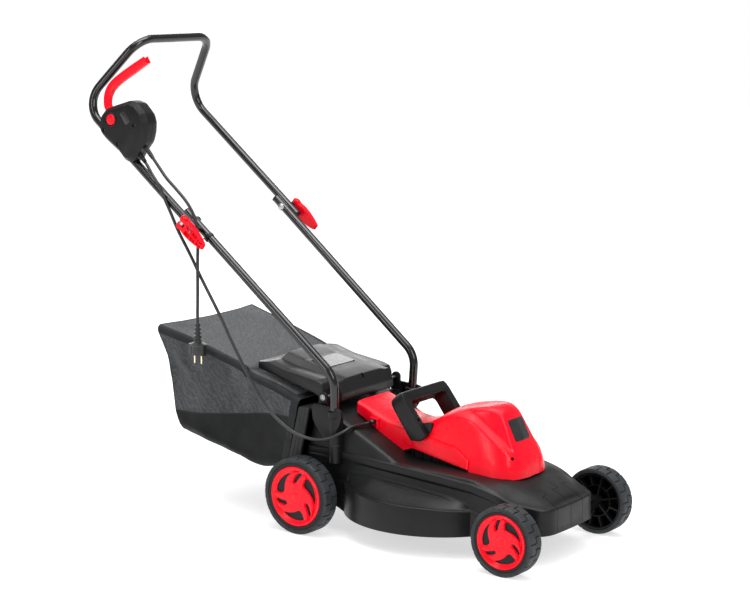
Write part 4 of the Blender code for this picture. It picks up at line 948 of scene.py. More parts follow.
def wheel_core(radius, cap_radius):
    """A moulded core: rim, solid web, middle ring, hub, and six long and six short ribs."""
    rim_out = radius - TYRE_WALL - 0.0006
    rim_in = rim_out - RIM_WALL
    seat = cap_radius + 0.0005
    back = FACE - 0.0395
    rim = lathe(
        [
            (seat - 0.0040, FACE - 0.0066), (seat, FACE - 0.0066), (seat, FACE - 0.0024),
            (seat + 0.0006, FACE - 0.0018), (rim_out - 0.0006, FACE - 0.0018), (rim_out, FACE - 0.0024),
            (rim_out, back + 0.0006), (rim_out - 0.0006, back), (rim_in + 0.0006, back),
            (rim_in, back + 0.0006), (rim_in, FACE - 0.0100), (seat - 0.0040, FACE - 0.0100),
        ],
        96, closed=True,
    )
    web = slab([ring(range(0, 360, 5), rim_in + 0.0008)], "XY", FACE - 0.0098, FACE - 0.0070)
    hub = lathe(
        [
            (BORE_RADIUS, FACE - 0.0066), (HUB_RADIUS, FACE - 0.0066), (HUB_RADIUS, FACE - 0.0390),
            (HUB_RADIUS - 0.0008, back - 0.0005),
            (BORE_RADIUS + 0.0006, back - 0.0005), (BORE_RADIUS, FACE - 0.0392),
        ],
        48, closed=True,
    )
    middle_ring = lathe(
        [
            (0.60 * rim_in, FACE - 0.0090), (0.60 * rim_in, FACE - 0.0330),
            (0.60 * rim_in - 0.0018, FACE - 0.0330), (0.60 * rim_in - 0.0018, FACE - 0.0090),
        ],
        72, closed=True,
    )
    ribs = []
    for index in range(12):
        start = HUB_RADIUS - 0.001 if index % 2 == 0 else 0.60 * rim_in - 0.0010
        rib = rounded_box((start, -0.0011, FACE - 0.0350), (rim_in + 0.001, 0.0011, FACE - 0.0085), 0.0003, 1)
        rib.transform(Matrix.Rotation(math.radians(30 * index + 45), 4, "Z"))
        ribs.append(rib)
    return merged(rim, web, hub, middle_ring, *ribs)


WHEELS = (
    ("front_right_wheel", WHEELBASE, -1, FRONT_RADIUS, FRONT_CAP_RADIUS, 18, 78),
    ("front_left_wheel", WHEELBASE, 1, FRONT_RADIUS, FRONT_CAP_RADIUS, 18, 40),
    ("rear_right_wheel", 0.0, -1, REAR_RADIUS, REAR_CAP_RADIUS, 20, 56),
    ("rear_left_wheel", 0.0, 1, REAR_RADIUS, REAR_CAP_RADIUS, 20, 20),
)


def build_wheels():
    for name, x, side, radius, cap_radius, lugs, turn in WHEELS:
        centre = Vector((x, side * (TRACK_OUT - FACE), radius))
        place = Matrix.Translation(centre) @ Matrix.Rotation(math.pi if side > 0 else 0.0, 4, "Z")
        place = place @ Matrix.Rotation(math.pi / 2, 4, "X")
        for part, mesh, material, slot in (
            ("tyre", tyre(radius, lugs), RUBBER, "tyre_rubber"),
            ("core", wheel_core(radius, cap_radius), BLACK, "black_plastic"),
            ("cap", hub_cap(cap_radius, turn), RED, "red_plastic"),
        ):
            mesh.transform(place)
            angle = 50 if part == "tyre" else 35
            piece(f"{name}_{part}_detail", mesh, material, name, (f"{name}_{part}",), angle)


build_wheels()


# Deck
TOP_LINE = (
    (0.0, 0.262), (0.05, 0.243), (0.15, 0.193), (0.2062, 0.1655),
    (0.29, 0.1645), (0.44, 0.158), (0.545, 0.120), (0.55, 0.117),
)
BAND_LINE = (
    (-0.021, 0.176), (0.075, 0.171), (0.41, 0.149), (0.44, 0.140), (0.476, 0.1255), (0.505, 0.1185),
    (0.532, 0.1130), (0.55, 0.1120),
)
SHOULDER_LINE = (
    (0.0, 0.262), (0.05, 0.243), (0.15, 0.193), (0.2062, 0.1655), (0.29, 0.1645), (0.38, 0.1606),
    (0.41, 0.1560), (0.44, 0.1460),
    (0.476, 0.1300), (0.505, 0.1230), (0.532, 0.1175), (0.5455, 0.1165), (0.55, 0.117),
)
PAN_LINE = (
    (-0.03, 0.120), (0.03, 0.128), (0.06, 0.134), (0.15, 0.134), (0.243, 0.1260), (0.338, 0.1180),
    (0.40, 0.108), (0.44, 0.098), (0.476, 0.0975), (0.55, 0.086),
)
LIP_LINE = (
    (-0.03, 0.100), (0.05, 0.108), (0.13, 0.110), (0.19, 0.1065), (0.308, 0.1025), (0.36, 0.0985),
    (0.40, 0.096), (0.44, 0.086), (0.55, 0.073),
)
FOOT_LINE = ((-0.03, 0.060), (0.05, 0.056), (0.0745, SKIRT_Z), (0.39, SKIRT_Z), (0.46, 0.056), (0.55, 0.062))
DECK_CUTS = (0.030, 0.006, 0.004, 0.0015, 0.0032, 0.002, 0.001, 0.004, 0.004, 0.0025)
NOSE_ROWS = (
    ((0.44, BODY_HALF), 0.435), ((0.478, 0.1235), 0.455), ((0.508, 0.1090), 0.470),
    ((0.532, 0.0965), 0.485), ((0.5455, 0.0767), 0.497), ((0.5490, 0.0450), 0.503), ((NOSE_X, 0.0), 0.506),
)
SOCKET_SIDE = (
    (0.002, 0.272), (0.007, 0.234), (0.033, 0.204), (0.054, 0.198), (0.077, 0.233), (0.082, 0.255),
    (0.077, 0.267),
)
CHUTE_FLOOR = (
    (0.072, 0.0895), (0.040, 0.0905), (-0.0285, 0.1400), (-0.0285, 0.1435), (0.041, 0.0940), (0.072, 0.0930),
)


def deck_controls(edge, spine_x):
    """The corners of one section of the deck, from its spine out and down to the skirt's edge."""
    x, y = edge
    spine = Vector((spine_x, 0))
    reach = Vector(edge) - spine
    outward = reach.normalized()
    bulge = math.sqrt(max(0.0, SKIRT_RADIUS**2 - (x - CUT_X) ** 2))
    bulge = max(0.0, bulge - BODY_HALF) if BODY_HALF - y < 0.001 else 0.0
    out = min(1.0, bulge / 0.03)
    band = between(BAND_LINE, x)
    foot = between(FOOT_LINE, x)
    sill = between(PAN_LINE, x)
    lip = between(LIP_LINE, x)

    def top(share, offset, drop=0.0, crown=1.0):
        point = spine + reach * share + outward * offset
        high, low = between(TOP_LINE, point.x), between(SHOULDER_LINE, point.x)
        return Vector((point.x, point.y, high + (low - high) * crown - drop))

    def wall(offset, z):
        point = spine + reach + outward * offset
        return Vector((point.x, point.y, z))

    fade = 1.0 - smooth_step((x - 0.455) / 0.05)
    return [
        top(0.0, 0.0, crown=0.0),
        top(0.62, 0.0, crown=0.12),
        top(1.0, -0.0157),
        top(1.0, -0.0078, 0.004 if x < 0.2 else 0.002),
        wall(-0.0045, band + 0.002),
        wall(0.0, band),
        wall(0.0, band - 0.014),
        wall(-0.0035 * fade, band - 0.018),
        wall(-0.0025 * fade, sill),
        wall(max(bulge - 0.009, -0.0015 * fade), lip + 0.0030 - 0.0015 * out),
        wall(max(bulge, 0.0), lip),
        wall(max(bulge + 0.0015, 0.0005), foot),
    ]


def deck_rows():
    chute = deck_controls((0.0, BODY_HALF), 0.0)
    for point in chute:
        point.x -= 0.028 * min(1.0, (0.262 - point.z) / 0.12)
    rows = [chute] + [deck_controls((x, BODY_HALF), x) for x in (0.015, 0.03, 0.042, 0.052, 0.064)]
    chamber = 40
    for index in range(chamber + 1):
        x = CUT_X - SKIRT_RADIUS * math.cos(math.radians(40 + 100 * index / chamber))
        rows.append(deck_controls((x, BODY_HALF), x))
    nose = [rows[-1]] + [deck_controls(edge, spine_x) for edge, spine_x in NOSE_ROWS]
    columns = [spline_through(column, 7) for column in zip(*nose)]
    rows += [list(row) for row in list(zip(*columns))[1:]]
    return [fillet(row, DECK_CUTS, 3) for row in rows]


def groove(path, width, depth, side_axis):
    """A cutter for a square groove along a path on a surface."""
    section = ((-width / 2, -depth), (width / 2, -depth), (width / 2, depth), (-width / 2, depth))
    return sweep(path, section, side_axis)


def tree_of(mesh):
    bm = bmesh.new()
    bm.from_mesh(mesh)
    tree = BVHTree.FromBMesh(bm)
    bm.free()
    return tree


def surface_line(tree, rays):
    """Points where rays, each (origin, direction), meet a surface."""
    hits = [tree.ray_cast(Vector(origin), Vector(direction).normalized())[0] for origin, direction in rays]
    return [hit for hit in hits if hit is not None]


def nose_groove(tree, rays, side_axis):
    return groove(surface_line(tree, rays), NOSE_GROOVE_WIDTH, NOSE_GROOVE_DEPTH, side_axis)


def nose_grooves(tree):
    """Grooves up the nose's front and back along its top, and the sideways steps that join them."""
    runs, steps = [], []
    edge = NOSE_GROOVE_WIDTH / 2
    for y, back, jog in NOSE_GROOVES:
        rays = [((x, y, 0.3), (0, 0, -1)) for x in (back, (back + GROOVE_TURN[0]) / 2)]
        for angle in range(90, -1, -10):
            way = Vector((math.cos(math.radians(angle)), 0, math.sin(math.radians(angle))))
            rays.append((Vector((GROOVE_TURN[0], y, GROOVE_TURN[1])) + way * 0.2, -way))
        rays += [((0.7, y, z), (-1, 0, 0)) for z in (0.090, 0.080, 0.070, 0.064, 0.058)]
        runs.append(nose_groove(tree, rays, (0, 1, 0)))
        if jog:
            rays = [((back, y - edge + (jog + 2 * edge) * share, 0.3), (0, 0, -1)) for share in (0, 0.5, 1)]
            steps.append(nose_groove(tree, rays, (1, 0, 0)))
            rays = [
                ((back - GROOVE_STEP + (GROOVE_STEP + edge) * share, y + jog, 0.3), (0, 0, -1))
                for share in (0, 0.5, 1)
            ]
            runs.append(nose_groove(tree, rays, (0, 1, 0)))
    return merged(*runs), merged(*steps)


def chamber_arc(middle, low, high):
    angles = [middle + 2 * step - 38 for step in range(39)]
    inner = ring(angles, SKIRT_RADIUS - 0.0045, (CUT_X, 0))
    outer = ring(reversed(angles), SKIRT_RADIUS - 0.0015, (CUT_X, 0))
    return slab([inner + outer], "XY", low, high, 0.0004)


def socket_point(side, z):
    share = (z - SOCKET_TOP[2]) / (LOWER_BEND[2] - SOCKET_TOP[2])
    place = Vector(SOCKET_TOP).lerp(Vector(LOWER_BEND), share)
    return Vector((place.x, side * -place.y, z))


def socket(side):
    """The upright sleeve that holds a lower tube, with a collar at its mouth and a stiffening ring."""
    low, high = socket_point(side, 0.150), socket_point(side, 0.261)
    length = (high - low).length
    bore = TUBE_RADIUS + 0.0006
    profile = [
        (0.0, 0.0), (0.0127, 0.0), (0.0127, 0.034), (0.0137, 0.0348), (0.0137, 0.0378), (0.0127, 0.0386),
        (0.0127, length - 0.0150), (0.0142, length - 0.0135), (0.0146, length - 0.0128),
        (0.0146, length - 0.0012),
        (0.0136, length), (bore + 0.0008, length), (bore, length - 0.0010), (bore, 0.030), (0.0, 0.030),
    ]
    return lathe(profile, 48, start=low, end=high)


def boss(x, side, radius, size):
    """The round boss that an axle runs through, with a chamfered end and four webs."""
    inner = 0.100 if x > 0.4 else 0.118
    start, end = (x, side * inner, radius), (x, side * BOSS_OUT, radius)
    length = BOSS_OUT - inner
    profile = [
        (AXLE_HOLE, 0), (size, 0), (size, length - 0.0020), (size - 0.0012, length), (0.0066, length),
        (AXLE_HOLE, length - 0.0008),
    ]
    webs = []
    for turn in (45, 135, 225, 315):
        web = rounded_box((size - 0.003, -0.0012, 0.0), (size + 0.008, 0.0012, length - 0.022), 0.0004, 1)
        web.transform(axis_frame(start, end) @ Matrix.Rotation(math.radians(turn), 4, "Z"))
        webs.append(web)
    return merged(lathe(profile, 48, closed=True, start=start, end=end), *webs)


def ear(side):
    """The plate that carries one end of the flap's hinge pin."""
    outline = ring(range(-20, 201, 10), 0.011, FLAP_AXIS) + [(0.009, 0.252), (0.036, 0.246)]
    hole = ring(range(0, 360, 15), 0.0034, FLAP_AXIS)
    return slab([outline, hole], "XZ", *span(side, 0.1292, EAR_OUT), 0.0008)


def crescent_ridge(tree, side):
    """A low bar on the pan beside the deck's wall, thin at both ends."""
    shares = [index / 24 for index in range(25)]
    rays = [
        ((0.142 + 0.204 * share, side * (0.1365 + 0.0045 * math.sin(math.pi * share)), 0.5), (0, 0, -1))
        for share in shares
    ]
    section = ((-0.0036, -0.0020), (-0.0020, 0.0012), (0.0, 0.0020), (0.0020, 0.0012), (0.0036, -0.0020))
    taper = [0.25 + 0.75 * math.sin(math.pi * share) for share in shares]
    return sweep(surface_line(tree, rays), section, (0, 1, 0), taper)


def build_deck():
    half = mesh_of(loft(deck_rows()))
    half = turned_up(half)
    whole = baked(half, mirror, lambda obj: even_wall(obj, DECK_WALL))
    tree = tree_of(whole)
    holes = [
        rod((WHEELBASE, -0.2, FRONT_RADIUS), (WHEELBASE, 0.2, FRONT_RADIUS), AXLE_HOLE),
        rod((0, -0.2, REAR_RADIUS), (0, 0.2, REAR_RADIUS), AXLE_HOLE),
        rod((MOTOR_X, 0, 0.140), (MOTOR_X, 0, 0.210), 0.0570, steps=64),
    ]
    for side in (-1, 1):
        holes.append(rod(socket_point(side, 0.180), socket_point(side, 0.270), TUBE_RADIUS + 0.0006))
    whole = combined(whole, "DIFFERENCE", merged(*holes))
    for cutters in nose_grooves(tree):
        whole = combined(whole, "DIFFERENCE", cutters)
    parts = [
        whole, slab([CHUTE_FLOOR], "XZ", -0.1275, 0.1275, 0.0005), chamber_arc(0, 0.047, 0.156),
        chamber_arc(180, 0.047, 0.0915),
    ]
    seat = [
        (0.0440, 0.1646), (0.0575, 0.1646), (0.0575, 0.1659), (0.0590, 0.1659), (0.0590, 0.1618),
        (0.0440, 0.1618),
    ]
    parts.append(lathe(seat, 64, closed=True, start=(MOTOR_X, 0, 0), end=(MOTOR_X, 0, 1)))
    for side in (-1, 1):
        low, high = span(side, 0.1235, 0.142)
        inner_low, inner_high = span(side, 0.1215, EAR_OUT)
        sx = SOCKET_TOP[0]
        parts += [
            socket(side),
            rounded_box((sx - 0.009, low, 0.166), (sx + 0.009, high, 0.246), 0.0012),
            slab([soft_corners(SOCKET_SIDE, 0.012, 4)], "XZ", *span(side, 0.1445, 0.1505), 0.0014),
            rounded_box((0.010, inner_low, 0.215), (0.035, inner_high, 0.255), 0.0012),
            ear(side),
            boss(WHEELBASE, side, FRONT_RADIUS, 0.014),
            boss(0.0, side, REAR_RADIUS, 0.014),
            crescent_ridge(tree, side),
        ]
    piece("deck_shell", merged(*parts), BLACK, "root", ("deck",), 32)


build_deck()

# Motor cover: rows from the rear to the nose, each from the middle out and down to the bottom edge
COVER_ROWS = (
    (
        (0.058, 0, 0.2680), (0.058, 0.030, 0.2680), (0.058, 0.052, 0.2675), (0.058, 0.0607, 0.2652),
        (0.058, 0.0613, 0.2560), (0.058, 0.062, 0.2400),
    ),
    (
        (0.100, 0, 0.2530), (0.100, 0.028, 0.2522), (0.100, 0.050, 0.2500), (0.100, 0.0610, 0.2466),
        (0.100, 0.0618, 0.2350), (0.100, 0.0628, 0.2100),
    ),
    (
        (0.140, 0, 0.2400), (0.140, 0.026, 0.2383), (0.140, 0.047, 0.2350), (0.140, 0.0612, 0.2315),
        (0.140, 0.0622, 0.2160), (0.140, 0.0635, 0.1850),
    ),
    (
        (0.175, 0, 0.2335), (0.175, 0.026, 0.2315), (0.175, 0.047, 0.2290), (0.175, 0.0615, 0.2270),
        (0.175, 0.0630, 0.2060), (0.175, 0.0645, 0.1650),
    ),
    (
        (0.215, 0, 0.2400), (0.215, 0.030, 0.2385), (0.215, 0.055, 0.2352), (0.215, 0.0635, 0.2245),
        (0.215, 0.0665, 0.2150), (0.215, 0.0680, 0.1600),
    ),
    (
        (0.247, 0, 0.2540), (0.247, 0.034, 0.2522), (0.247, 0.0575, 0.2480), (0.247, 0.0655, 0.2320),
        (0.247, 0.0690, 0.2170), (0.247, 0.0720, 0.1550),
    ),
    (
        (0.287, 0, 0.2790), (0.287, 0.038, 0.2770), (0.287, 0.0565, 0.2720), (0.287, 0.0655, 0.2640),
        (0.287, 0.0705, 0.2100), (0.287, 0.0765, 0.1550),
    ),
    (
        (0.320, 0, 0.2865), (0.320, 0.042, 0.2838), (0.320, 0.0530, 0.2775), (0.320, 0.0650, 0.2665),
        (0.320, 0.0725, 0.2045), (0.320, 0.0800, 0.1550),
    ),
    (
        (0.350, 0, 0.2920), (0.350, 0.044, 0.2885), (0.350, 0.0505, 0.2745), (0.350, 0.0650, 0.2615),
        (0.350, 0.0750, 0.1850), (0.350, 0.0830, 0.1550),
    ),
    (
        (0.380, 0, 0.2945), (0.378, 0.0405, 0.2890), (0.378, 0.0500, 0.2530), (0.378, 0.0650, 0.2430),
        (0.378, 0.0770, 0.1900), (0.378, 0.0835, 0.1550),
    ),
    (
        (0.4030, 0, 0.2870), (0.4000, 0.0335, 0.2790), (0.4010, 0.0495, 0.2360), (0.4040, 0.0645, 0.2248),
        (0.4070, 0.0765, 0.1880), (0.4080, 0.0825, 0.1550),
    ),
    (
        (0.4125, 0, 0.2650), (0.4095, 0.0350, 0.2620), (0.4130, 0.0485, 0.2265), (0.4195, 0.0625, 0.2140),
        (0.4240, 0.0735, 0.1840), (0.4250, 0.0775, 0.1550),
    ),
    (
        (0.4225, 0, 0.2450), (0.4180, 0.0400, 0.2440), (0.4230, 0.0480, 0.2170), (0.4310, 0.0590, 0.2050),
        (0.4360, 0.0685, 0.1800), (0.4380, 0.0715, 0.1550),
    ),
    (
        (0.4325, 0, 0.2250), (0.4275, 0.0435, 0.2240), (0.4305, 0.0470, 0.2125), (0.4385, 0.0540, 0.1980),
        (0.4430, 0.0600, 0.1770), (0.4455, 0.0630, 0.1550),
    ),
    (
        (0.4385, 0, 0.2140), (0.4355, 0.0430, 0.2115), (0.4380, 0.0450, 0.2055), (0.4440, 0.0480, 0.1920),
        (0.4485, 0.0520, 0.1750), (0.4505, 0.0540, 0.1550),
    ),
    (
        (0.4475, 0, 0.1985), (0.4460, 0.0370, 0.1955), (0.4475, 0.0385, 0.1915), (0.4515, 0.0400, 0.1840),
        (0.4540, 0.0420, 0.1700), (0.4545, 0.0430, 0.1550),
    ),
    (
        (0.4550, 0, 0.1800), (0.4540, 0.0250, 0.1780), (0.4548, 0.0265, 0.1755), (0.4562, 0.0275, 0.1710),
        (0.4570, 0.0285, 0.1630), (0.4572, 0.0290, 0.1550),
    ),
    (
        (0.4585, 0, 0.1560), (0.4584, 0.0130, 0.1558), (0.4584, 0.0135, 0.1556), (0.4584, 0.0140, 0.1554),
        (0.4584, 0.0145, 0.1552), (0.4584, 0.0150, 0.1550),
    ),
)
COVER_CUTS = (0.0100, 0.0060, 0.0050, 0.0060)
COVER_RUN_CUT = 0.016
COVER_WALL = 0.003
COVER_FOOT = (
    (0.045, 0.2515), (0.1036, 0.2178), (0.1694, 0.1750), (0.2017, 0.1872), (0.3500, 0.1640),
    (0.3500, 0.1000), (0.045, 0.1000),
)
STRIP_TOP = ((0.205, 0.2220), (0.2433, 0.2177), (0.3155, 0.2054), (0.3495, 0.1825))
STRIP_FOOT = ((0.205, 0.1880), (0.3500, 0.1645))
STRIP_RELIEF = 0.0017
REAR_PANEL = (
    (0, 0.2665), (0.0485, 0.2665), (0.0595, 0.2605), (0.0605, 0.2445),
    (-0.0605, 0.2445), (-0.0595, 0.2605), (-0.0485, 0.2665),
)
LEG_SIDE = (
    (0.1558, 0.2819), (0.1609, 0.2923), (0.1720, 0.3000), (0.1841, 0.3039), (0.1907, 0.2940),
    (0.2469, 0.2210), (0.2330, 0.2083), (0.2100, 0.2071),
)
LEG_FOOT = (
    (0.2200, 0.2420), (0.2509, 0.2482), (0.2536, 0.2454), (0.2497, 0.2265), (0.2423, 0.2212),
    (0.2250, 0.2120), (0.2120, 0.2220),
)
GRIP_ORIGIN = (0.2385, 0.2146)
GRIP_UP = (-0.6, 0.8)
GRIP_OUT = (0.8, 0.6)


def cover_sheet():
    columns = [fillet(column, COVER_RUN_CUT, 5) for column in zip(*COVER_ROWS)]
    rows = [fillet(row, COVER_CUTS, 4) for row in zip(*columns)]
    for row in rows:
        row[0].y = 0.0
    return turned_up(mesh_of(loft(rows)))


def under_deck_line():
    line = [(x, z - 0.0010) for x, z in TOP_LINE if x > 0.1]
    outline = [(0.05, 0.2435)] + line + [(line[-1][0], 0.08), (0.05, 0.08)]
    return slab([outline], "XZ", -0.11, 0.11)


def laid_on(tree, origins, direction, lift):
    """A sheet of points where rays from a grid of origins meet a surface, lifted off it."""
    rows = []
    for line in origins:
        row = []
        for origin in line:
            hit = tree.ray_cast(Vector(origin), Vector(direction))[0]
            if hit is None:
                return None
            row.append(hit - Vector(direction).normalized() * lift)
        rows.append(row)
    return loft(rows)


def badge_plate(tree):
    """The bare plate on the front slope, laid on the cover's own surface."""
    down, across = 8, 18
    origins = []
    for j in range(down + 1):
        share = j / down
        trim = 0.0025 if j in (0, down) else 0.0
        origins.append([
            (
                0.5290 + 0.0205 * share, (-0.0275 + trim) + (0.055 - 2 * trim) * i / across,
                0.3285 - 0.0420 * share,
            )
            for i in range(across + 1)
        ])
    return laid_on(tree, origins, (-0.886, 0, -0.464), 0.0006)


def side_strip(tree, side):
    """The raised strip along the cover's lower side, over the vents."""
    origins = []
    for i in range(25):
        x = STRIP_TOP[0][0] + (STRIP_TOP[-1][0] - STRIP_TOP[0][0]) * i / 24
        top, foot = between(STRIP_TOP, x), between(STRIP_FOOT, x) + 0.0006
        origins.append([(x, side * 0.2, top + (foot - top) * j / 6) for j in range(7)])
    sheet = laid_on(tree, origins, (0, -side, 0), STRIP_RELIEF)
    return beveled(walled(sheet, 2 * STRIP_RELIEF), 0.0007, 2, 50)


def cable_hood():
    """A lip and a wall on the cover's side, over the cable's entry."""
    outline = (
        (0.0960, 0.2365), (0.0965, 0.2395), (0.1165, 0.2375), (0.1150, 0.2165), (0.1115, 0.2165),
        (0.1120, 0.2345),
    )
    return slab([outline], "XZ", -0.0695, -0.0590, 0.0007)


def build_cover():
    whole = baked(cover_sheet(), mirror, lambda obj: even_wall(obj, COVER_WALL))
    reach = (GLAND_OUT - GLAND_IN) * 0.6
    entry = rod(GLAND_IN - reach, GLAND_OUT + reach, 0.0061)
    for tool in (entry, slab([COVER_FOOT], "XZ", -0.11, 0.11), under_deck_line()):
        whole = combined(whole, "DIFFERENCE", tool)
    tree = tree_of(whole)
    dents = []
    for side in (-1, 1):
        origin = Vector((0.54, side * 0.0540, 0.232))
        hit, normal = tree.ray_cast(origin, Vector((-1, 0, -0.35)).normalized())[:2]
        if hit is not None:
            dents.append(rod(hit + normal * 0.01, hit - normal * 0.0045, 0.0042, 0.0036))
    rear = slab([REAR_PANEL], "YZ", 0.0583, 0.0613, 0.0006)
    if dents:
        whole = combined(whole, "DIFFERENCE", merged(*dents))
    strips = [side_strip(tree, side) for side in (-1, 1)]
    shell = merged(whole, rear, cable_hood(), *strips)
    piece("motor_cover_shell", shell, RED, "root", ("motor_cover",), 26)
    plate = mesh_of(badge_plate(tree))
    plate = baked(plate, lambda obj: solidify(obj, 0.0012, 0), lambda obj: bevel(obj, 0.0004, 2, 50))
    piece("badge_place", plate, PLATE, "root", (), 35)
    sleeve = (GLAND_OUT - GLAND_IN).length
    gland = [
        (0, 0), (0.0055, 0), (0.0055, 0.0165), (0.0058, 0.0170), (0.0058, 0.0195), (0.0052, 0.0202),
        (0.0048, 0.0240), (0.0046, sleeve), (0, sleeve),
    ]
    piece(
        "gland_sleeve", lathe(gland, 32, start=GLAND_IN, end=GLAND_OUT), SHEATH, "root",
        ("cable_gland",),
    )


build_cover()


def grip_point(up, out, y):
    """A point of the carry handle from its height along the legs and its depth across them."""
    x = GRIP_ORIGIN[0] + GRIP_UP[0] * up + GRIP_OUT[0] * out
    return Vector((x, y, GRIP_ORIGIN[1] + GRIP_UP[1] * up + GRIP_OUT[1] * out))


def leg_bar(hand, near, far, radius, edge=0.0):
    """A round bar across one leg, where its screw sits."""
    start, end = (grip_point(GRIP_SCREW_UP, out, hand * LEG_MID) for out in (near, far))
    return rod(start, end, radius, edge=edge)


def build_carry_handle():
    """A bail cut from its side profile and from an arch square to its legs, with ribs under the grip."""
    outer = fillet(
        [(-0.0840, -0.06, 0), (-0.0840, 0.1095, 0), (0.0840, 0.1095, 0), (0.0840, -0.06, 0)], 0.026, 7,
    )
    inner = fillet(
        [(0.0650, -0.06, 0), (0.0650, 0.0830, 0), (-0.0650, 0.0830, 0), (-0.0650, -0.06, 0)], 0.013, 5,
    )
    arch = slab([flat(outer) + flat(inner)], "XY", -0.06, 0.05)
    arch.transform(
        Matrix((
            (0, GRIP_UP[0], GRIP_OUT[0], GRIP_ORIGIN[0]), (1, 0, 0, 0),
            (0, GRIP_UP[1], GRIP_OUT[1], GRIP_ORIGIN[1]), (0, 0, 0, 1),
        ))
    )
    bail = combined(slab([LEG_SIDE], "XZ", -0.0840, 0.0840), "INTERSECT", arch)
    bail = beveled(bail, 0.0024, 3, 35)
    feet = [beveled(slab([LEG_FOOT], "XZ", *span(hand, 0.0620, 0.0700)), 0.0010, 2) for hand in (-1, 1)]
    dents = [leg_bar(hand, 0.0055, 0.02, 0.0038) for hand in (-1, 1)]
    bail = combined(bail, "DIFFERENCE", merged(*dents))
    screws = [leg_bar(hand, 0.0045, 0.0068, 0.0030, 0.0006) for hand in (-1, 1)]
    places = [-0.049 + 0.0049 * i for i in range(21)]
    ribs = [rod(grip_point(0.0832, -0.021, y), grip_point(0.0832, 0.006, y), 0.0014) for y in places]
    piece(
        "carry_bail", merged(bail, *feet, *ribs, *screws), BLACK, "root",
        ("carry_handle",), 32,
    )


build_carry_handle()


# Handle tubes
def joint_point(y, past_joint):
    place = Vector((JOINT[0], y, JOINT[1])) + ALONG * past_joint
    return Vector((place.x, y, place.z))


def end_plug(end, inward):
    """A domed plastic plug in the end of a tube."""
    profile = [
        (0, -0.0120), (0.0072, -0.0120), (0.0078, 0.0002), (TUBE_RADIUS + 0.0004, 0.0002),
        (TUBE_RADIUS + 0.0006, 0.0010),
        (TUBE_RADIUS + 0.0002, 0.0022), (0.0070, 0.0034), (0.0030, 0.0040), (0, 0.0041),
    ]
    return lathe(profile, 40, start=end, end=Vector(end) - Vector(inward))


def build_lower_handle(side):
    foot = socket_point(side, 0.1804)
    bend = Vector((LOWER_BEND[0], side * -LOWER_BEND[1], LOWER_BEND[2]))
    path = rounded([foot, bend, joint_point(side * LOWER_JOINT_Y, -OVERRUN)], BEND_RADIUS)
    name = f"lower_tube_{side_name(side)}"
    piece(name, pipe(path, TUBE_RADIUS), PAINT, "root", (f"lower_handle_{side_name(side)}",))
    plug = end_plug(path[-1], path[-2] - path[-1])
    piece(f"{name}_plug", plug, BLACK, "root")


UPPER_PATH = rounded(
    [
        joint_point(-UPPER_JOINT_Y, OVERRUN), UPPER_BEND, TOP_CORNER,
        (TOP_CORNER[0], -TOP_CORNER[1], TOP_CORNER[2]), (UPPER_BEND[0], -UPPER_BEND[1], UPPER_BEND[2]),
        joint_point(UPPER_JOINT_Y, OVERRUN),
    ],
    BEND_RADIUS,
)


def build_handles():
    build_lower_handle(-1)
    build_lower_handle(1)
    piece("upper_tube", pipe(UPPER_PATH, TUBE_RADIUS), PAINT, "handle_top", ("upper_handle",))
    for name, end, inner in (("right", 0, 1), ("left", -1, -2)):
        plug = end_plug(UPPER_PATH[end], UPPER_PATH[inner] - UPPER_PATH[end])
        piece(f"upper_tube_plug_{name}", plug, BLACK, "handle_top")


build_handles()


def build_cord_clip():
    """A spring clip on the right-hand tube, with an open hook beside the mains lead."""
    middle = joint_point(-LOWER_JOINT_Y, 0.052)
    low, high = middle - ALONG * 0.004, middle + ALONG * 0.004
    band = lathe(
        [
            (TUBE_RADIUS + 0.0001, 0), (TUBE_RADIUS + 0.0014, 0.0003), (TUBE_RADIUS + 0.0016, 0.004),
            (TUBE_RADIUS + 0.0014, 0.0077), (TUBE_RADIUS + 0.0001, 0.008),
        ],
        40, closed=True, start=low, end=high,
    )
    centre = Vector((-0.2742, middle.y - TUBE_RADIUS - 0.0185, 0.6000))
    hook = []
    for index in range(15):
        angle = math.radians(-50 + 17 * index)
        hook.append(centre + Vector((0, math.cos(angle), math.sin(angle))) * 0.0062)
    start = Vector((middle.x, middle.y - TUBE_RADIUS - 0.0010, middle.z))
    stem = [start, start.lerp(hook[0], 0.5)] + hook
    piece("cord_clip", merged(band, pipe(stem, 0.0014, 3)), BLACK, "root")


build_cord_clip()


# Quick-release joints
def lever_frame(side):
    """Local axes of a cam lever: along the tube, outward, and across the tube."""
    return Matrix(
        (
            (ALONG.x, 0, ACROSS.x, JOINT[0]),
            (0, side, 0, side * PIN_Y),
            (ALONG.z, 0, ACROSS.z, JOINT[1]),
            (0, 0, 0, 1),
        )
    )


def in_frame(mesh, place):
    mesh.transform(place)
    if place.to_3x3().determinant() < 0:
        mesh.flip_normals()
    return mesh


CAM_SIDE = ring(range(60, 301, 10), 0.0095) + [
    (0.0120, -0.0075), (0.0740, -0.0020), (0.0780, 0.0020), (0.0760, 0.0065), (0.0300, 0.0085),
]
CAM_WAIST = (
    (-0.02, 0.0120), (-0.006, 0.0135), (0.010, 0.0128), (0.022, 0.0140), (0.040, 0.0134), (0.058, 0.0108),
    (0.070, 0.0078), (0.0785, 0.0045), (0.09, 0.0010),
)
CAM_POCKETS = (0.0114, 0.0104, 0.0072)


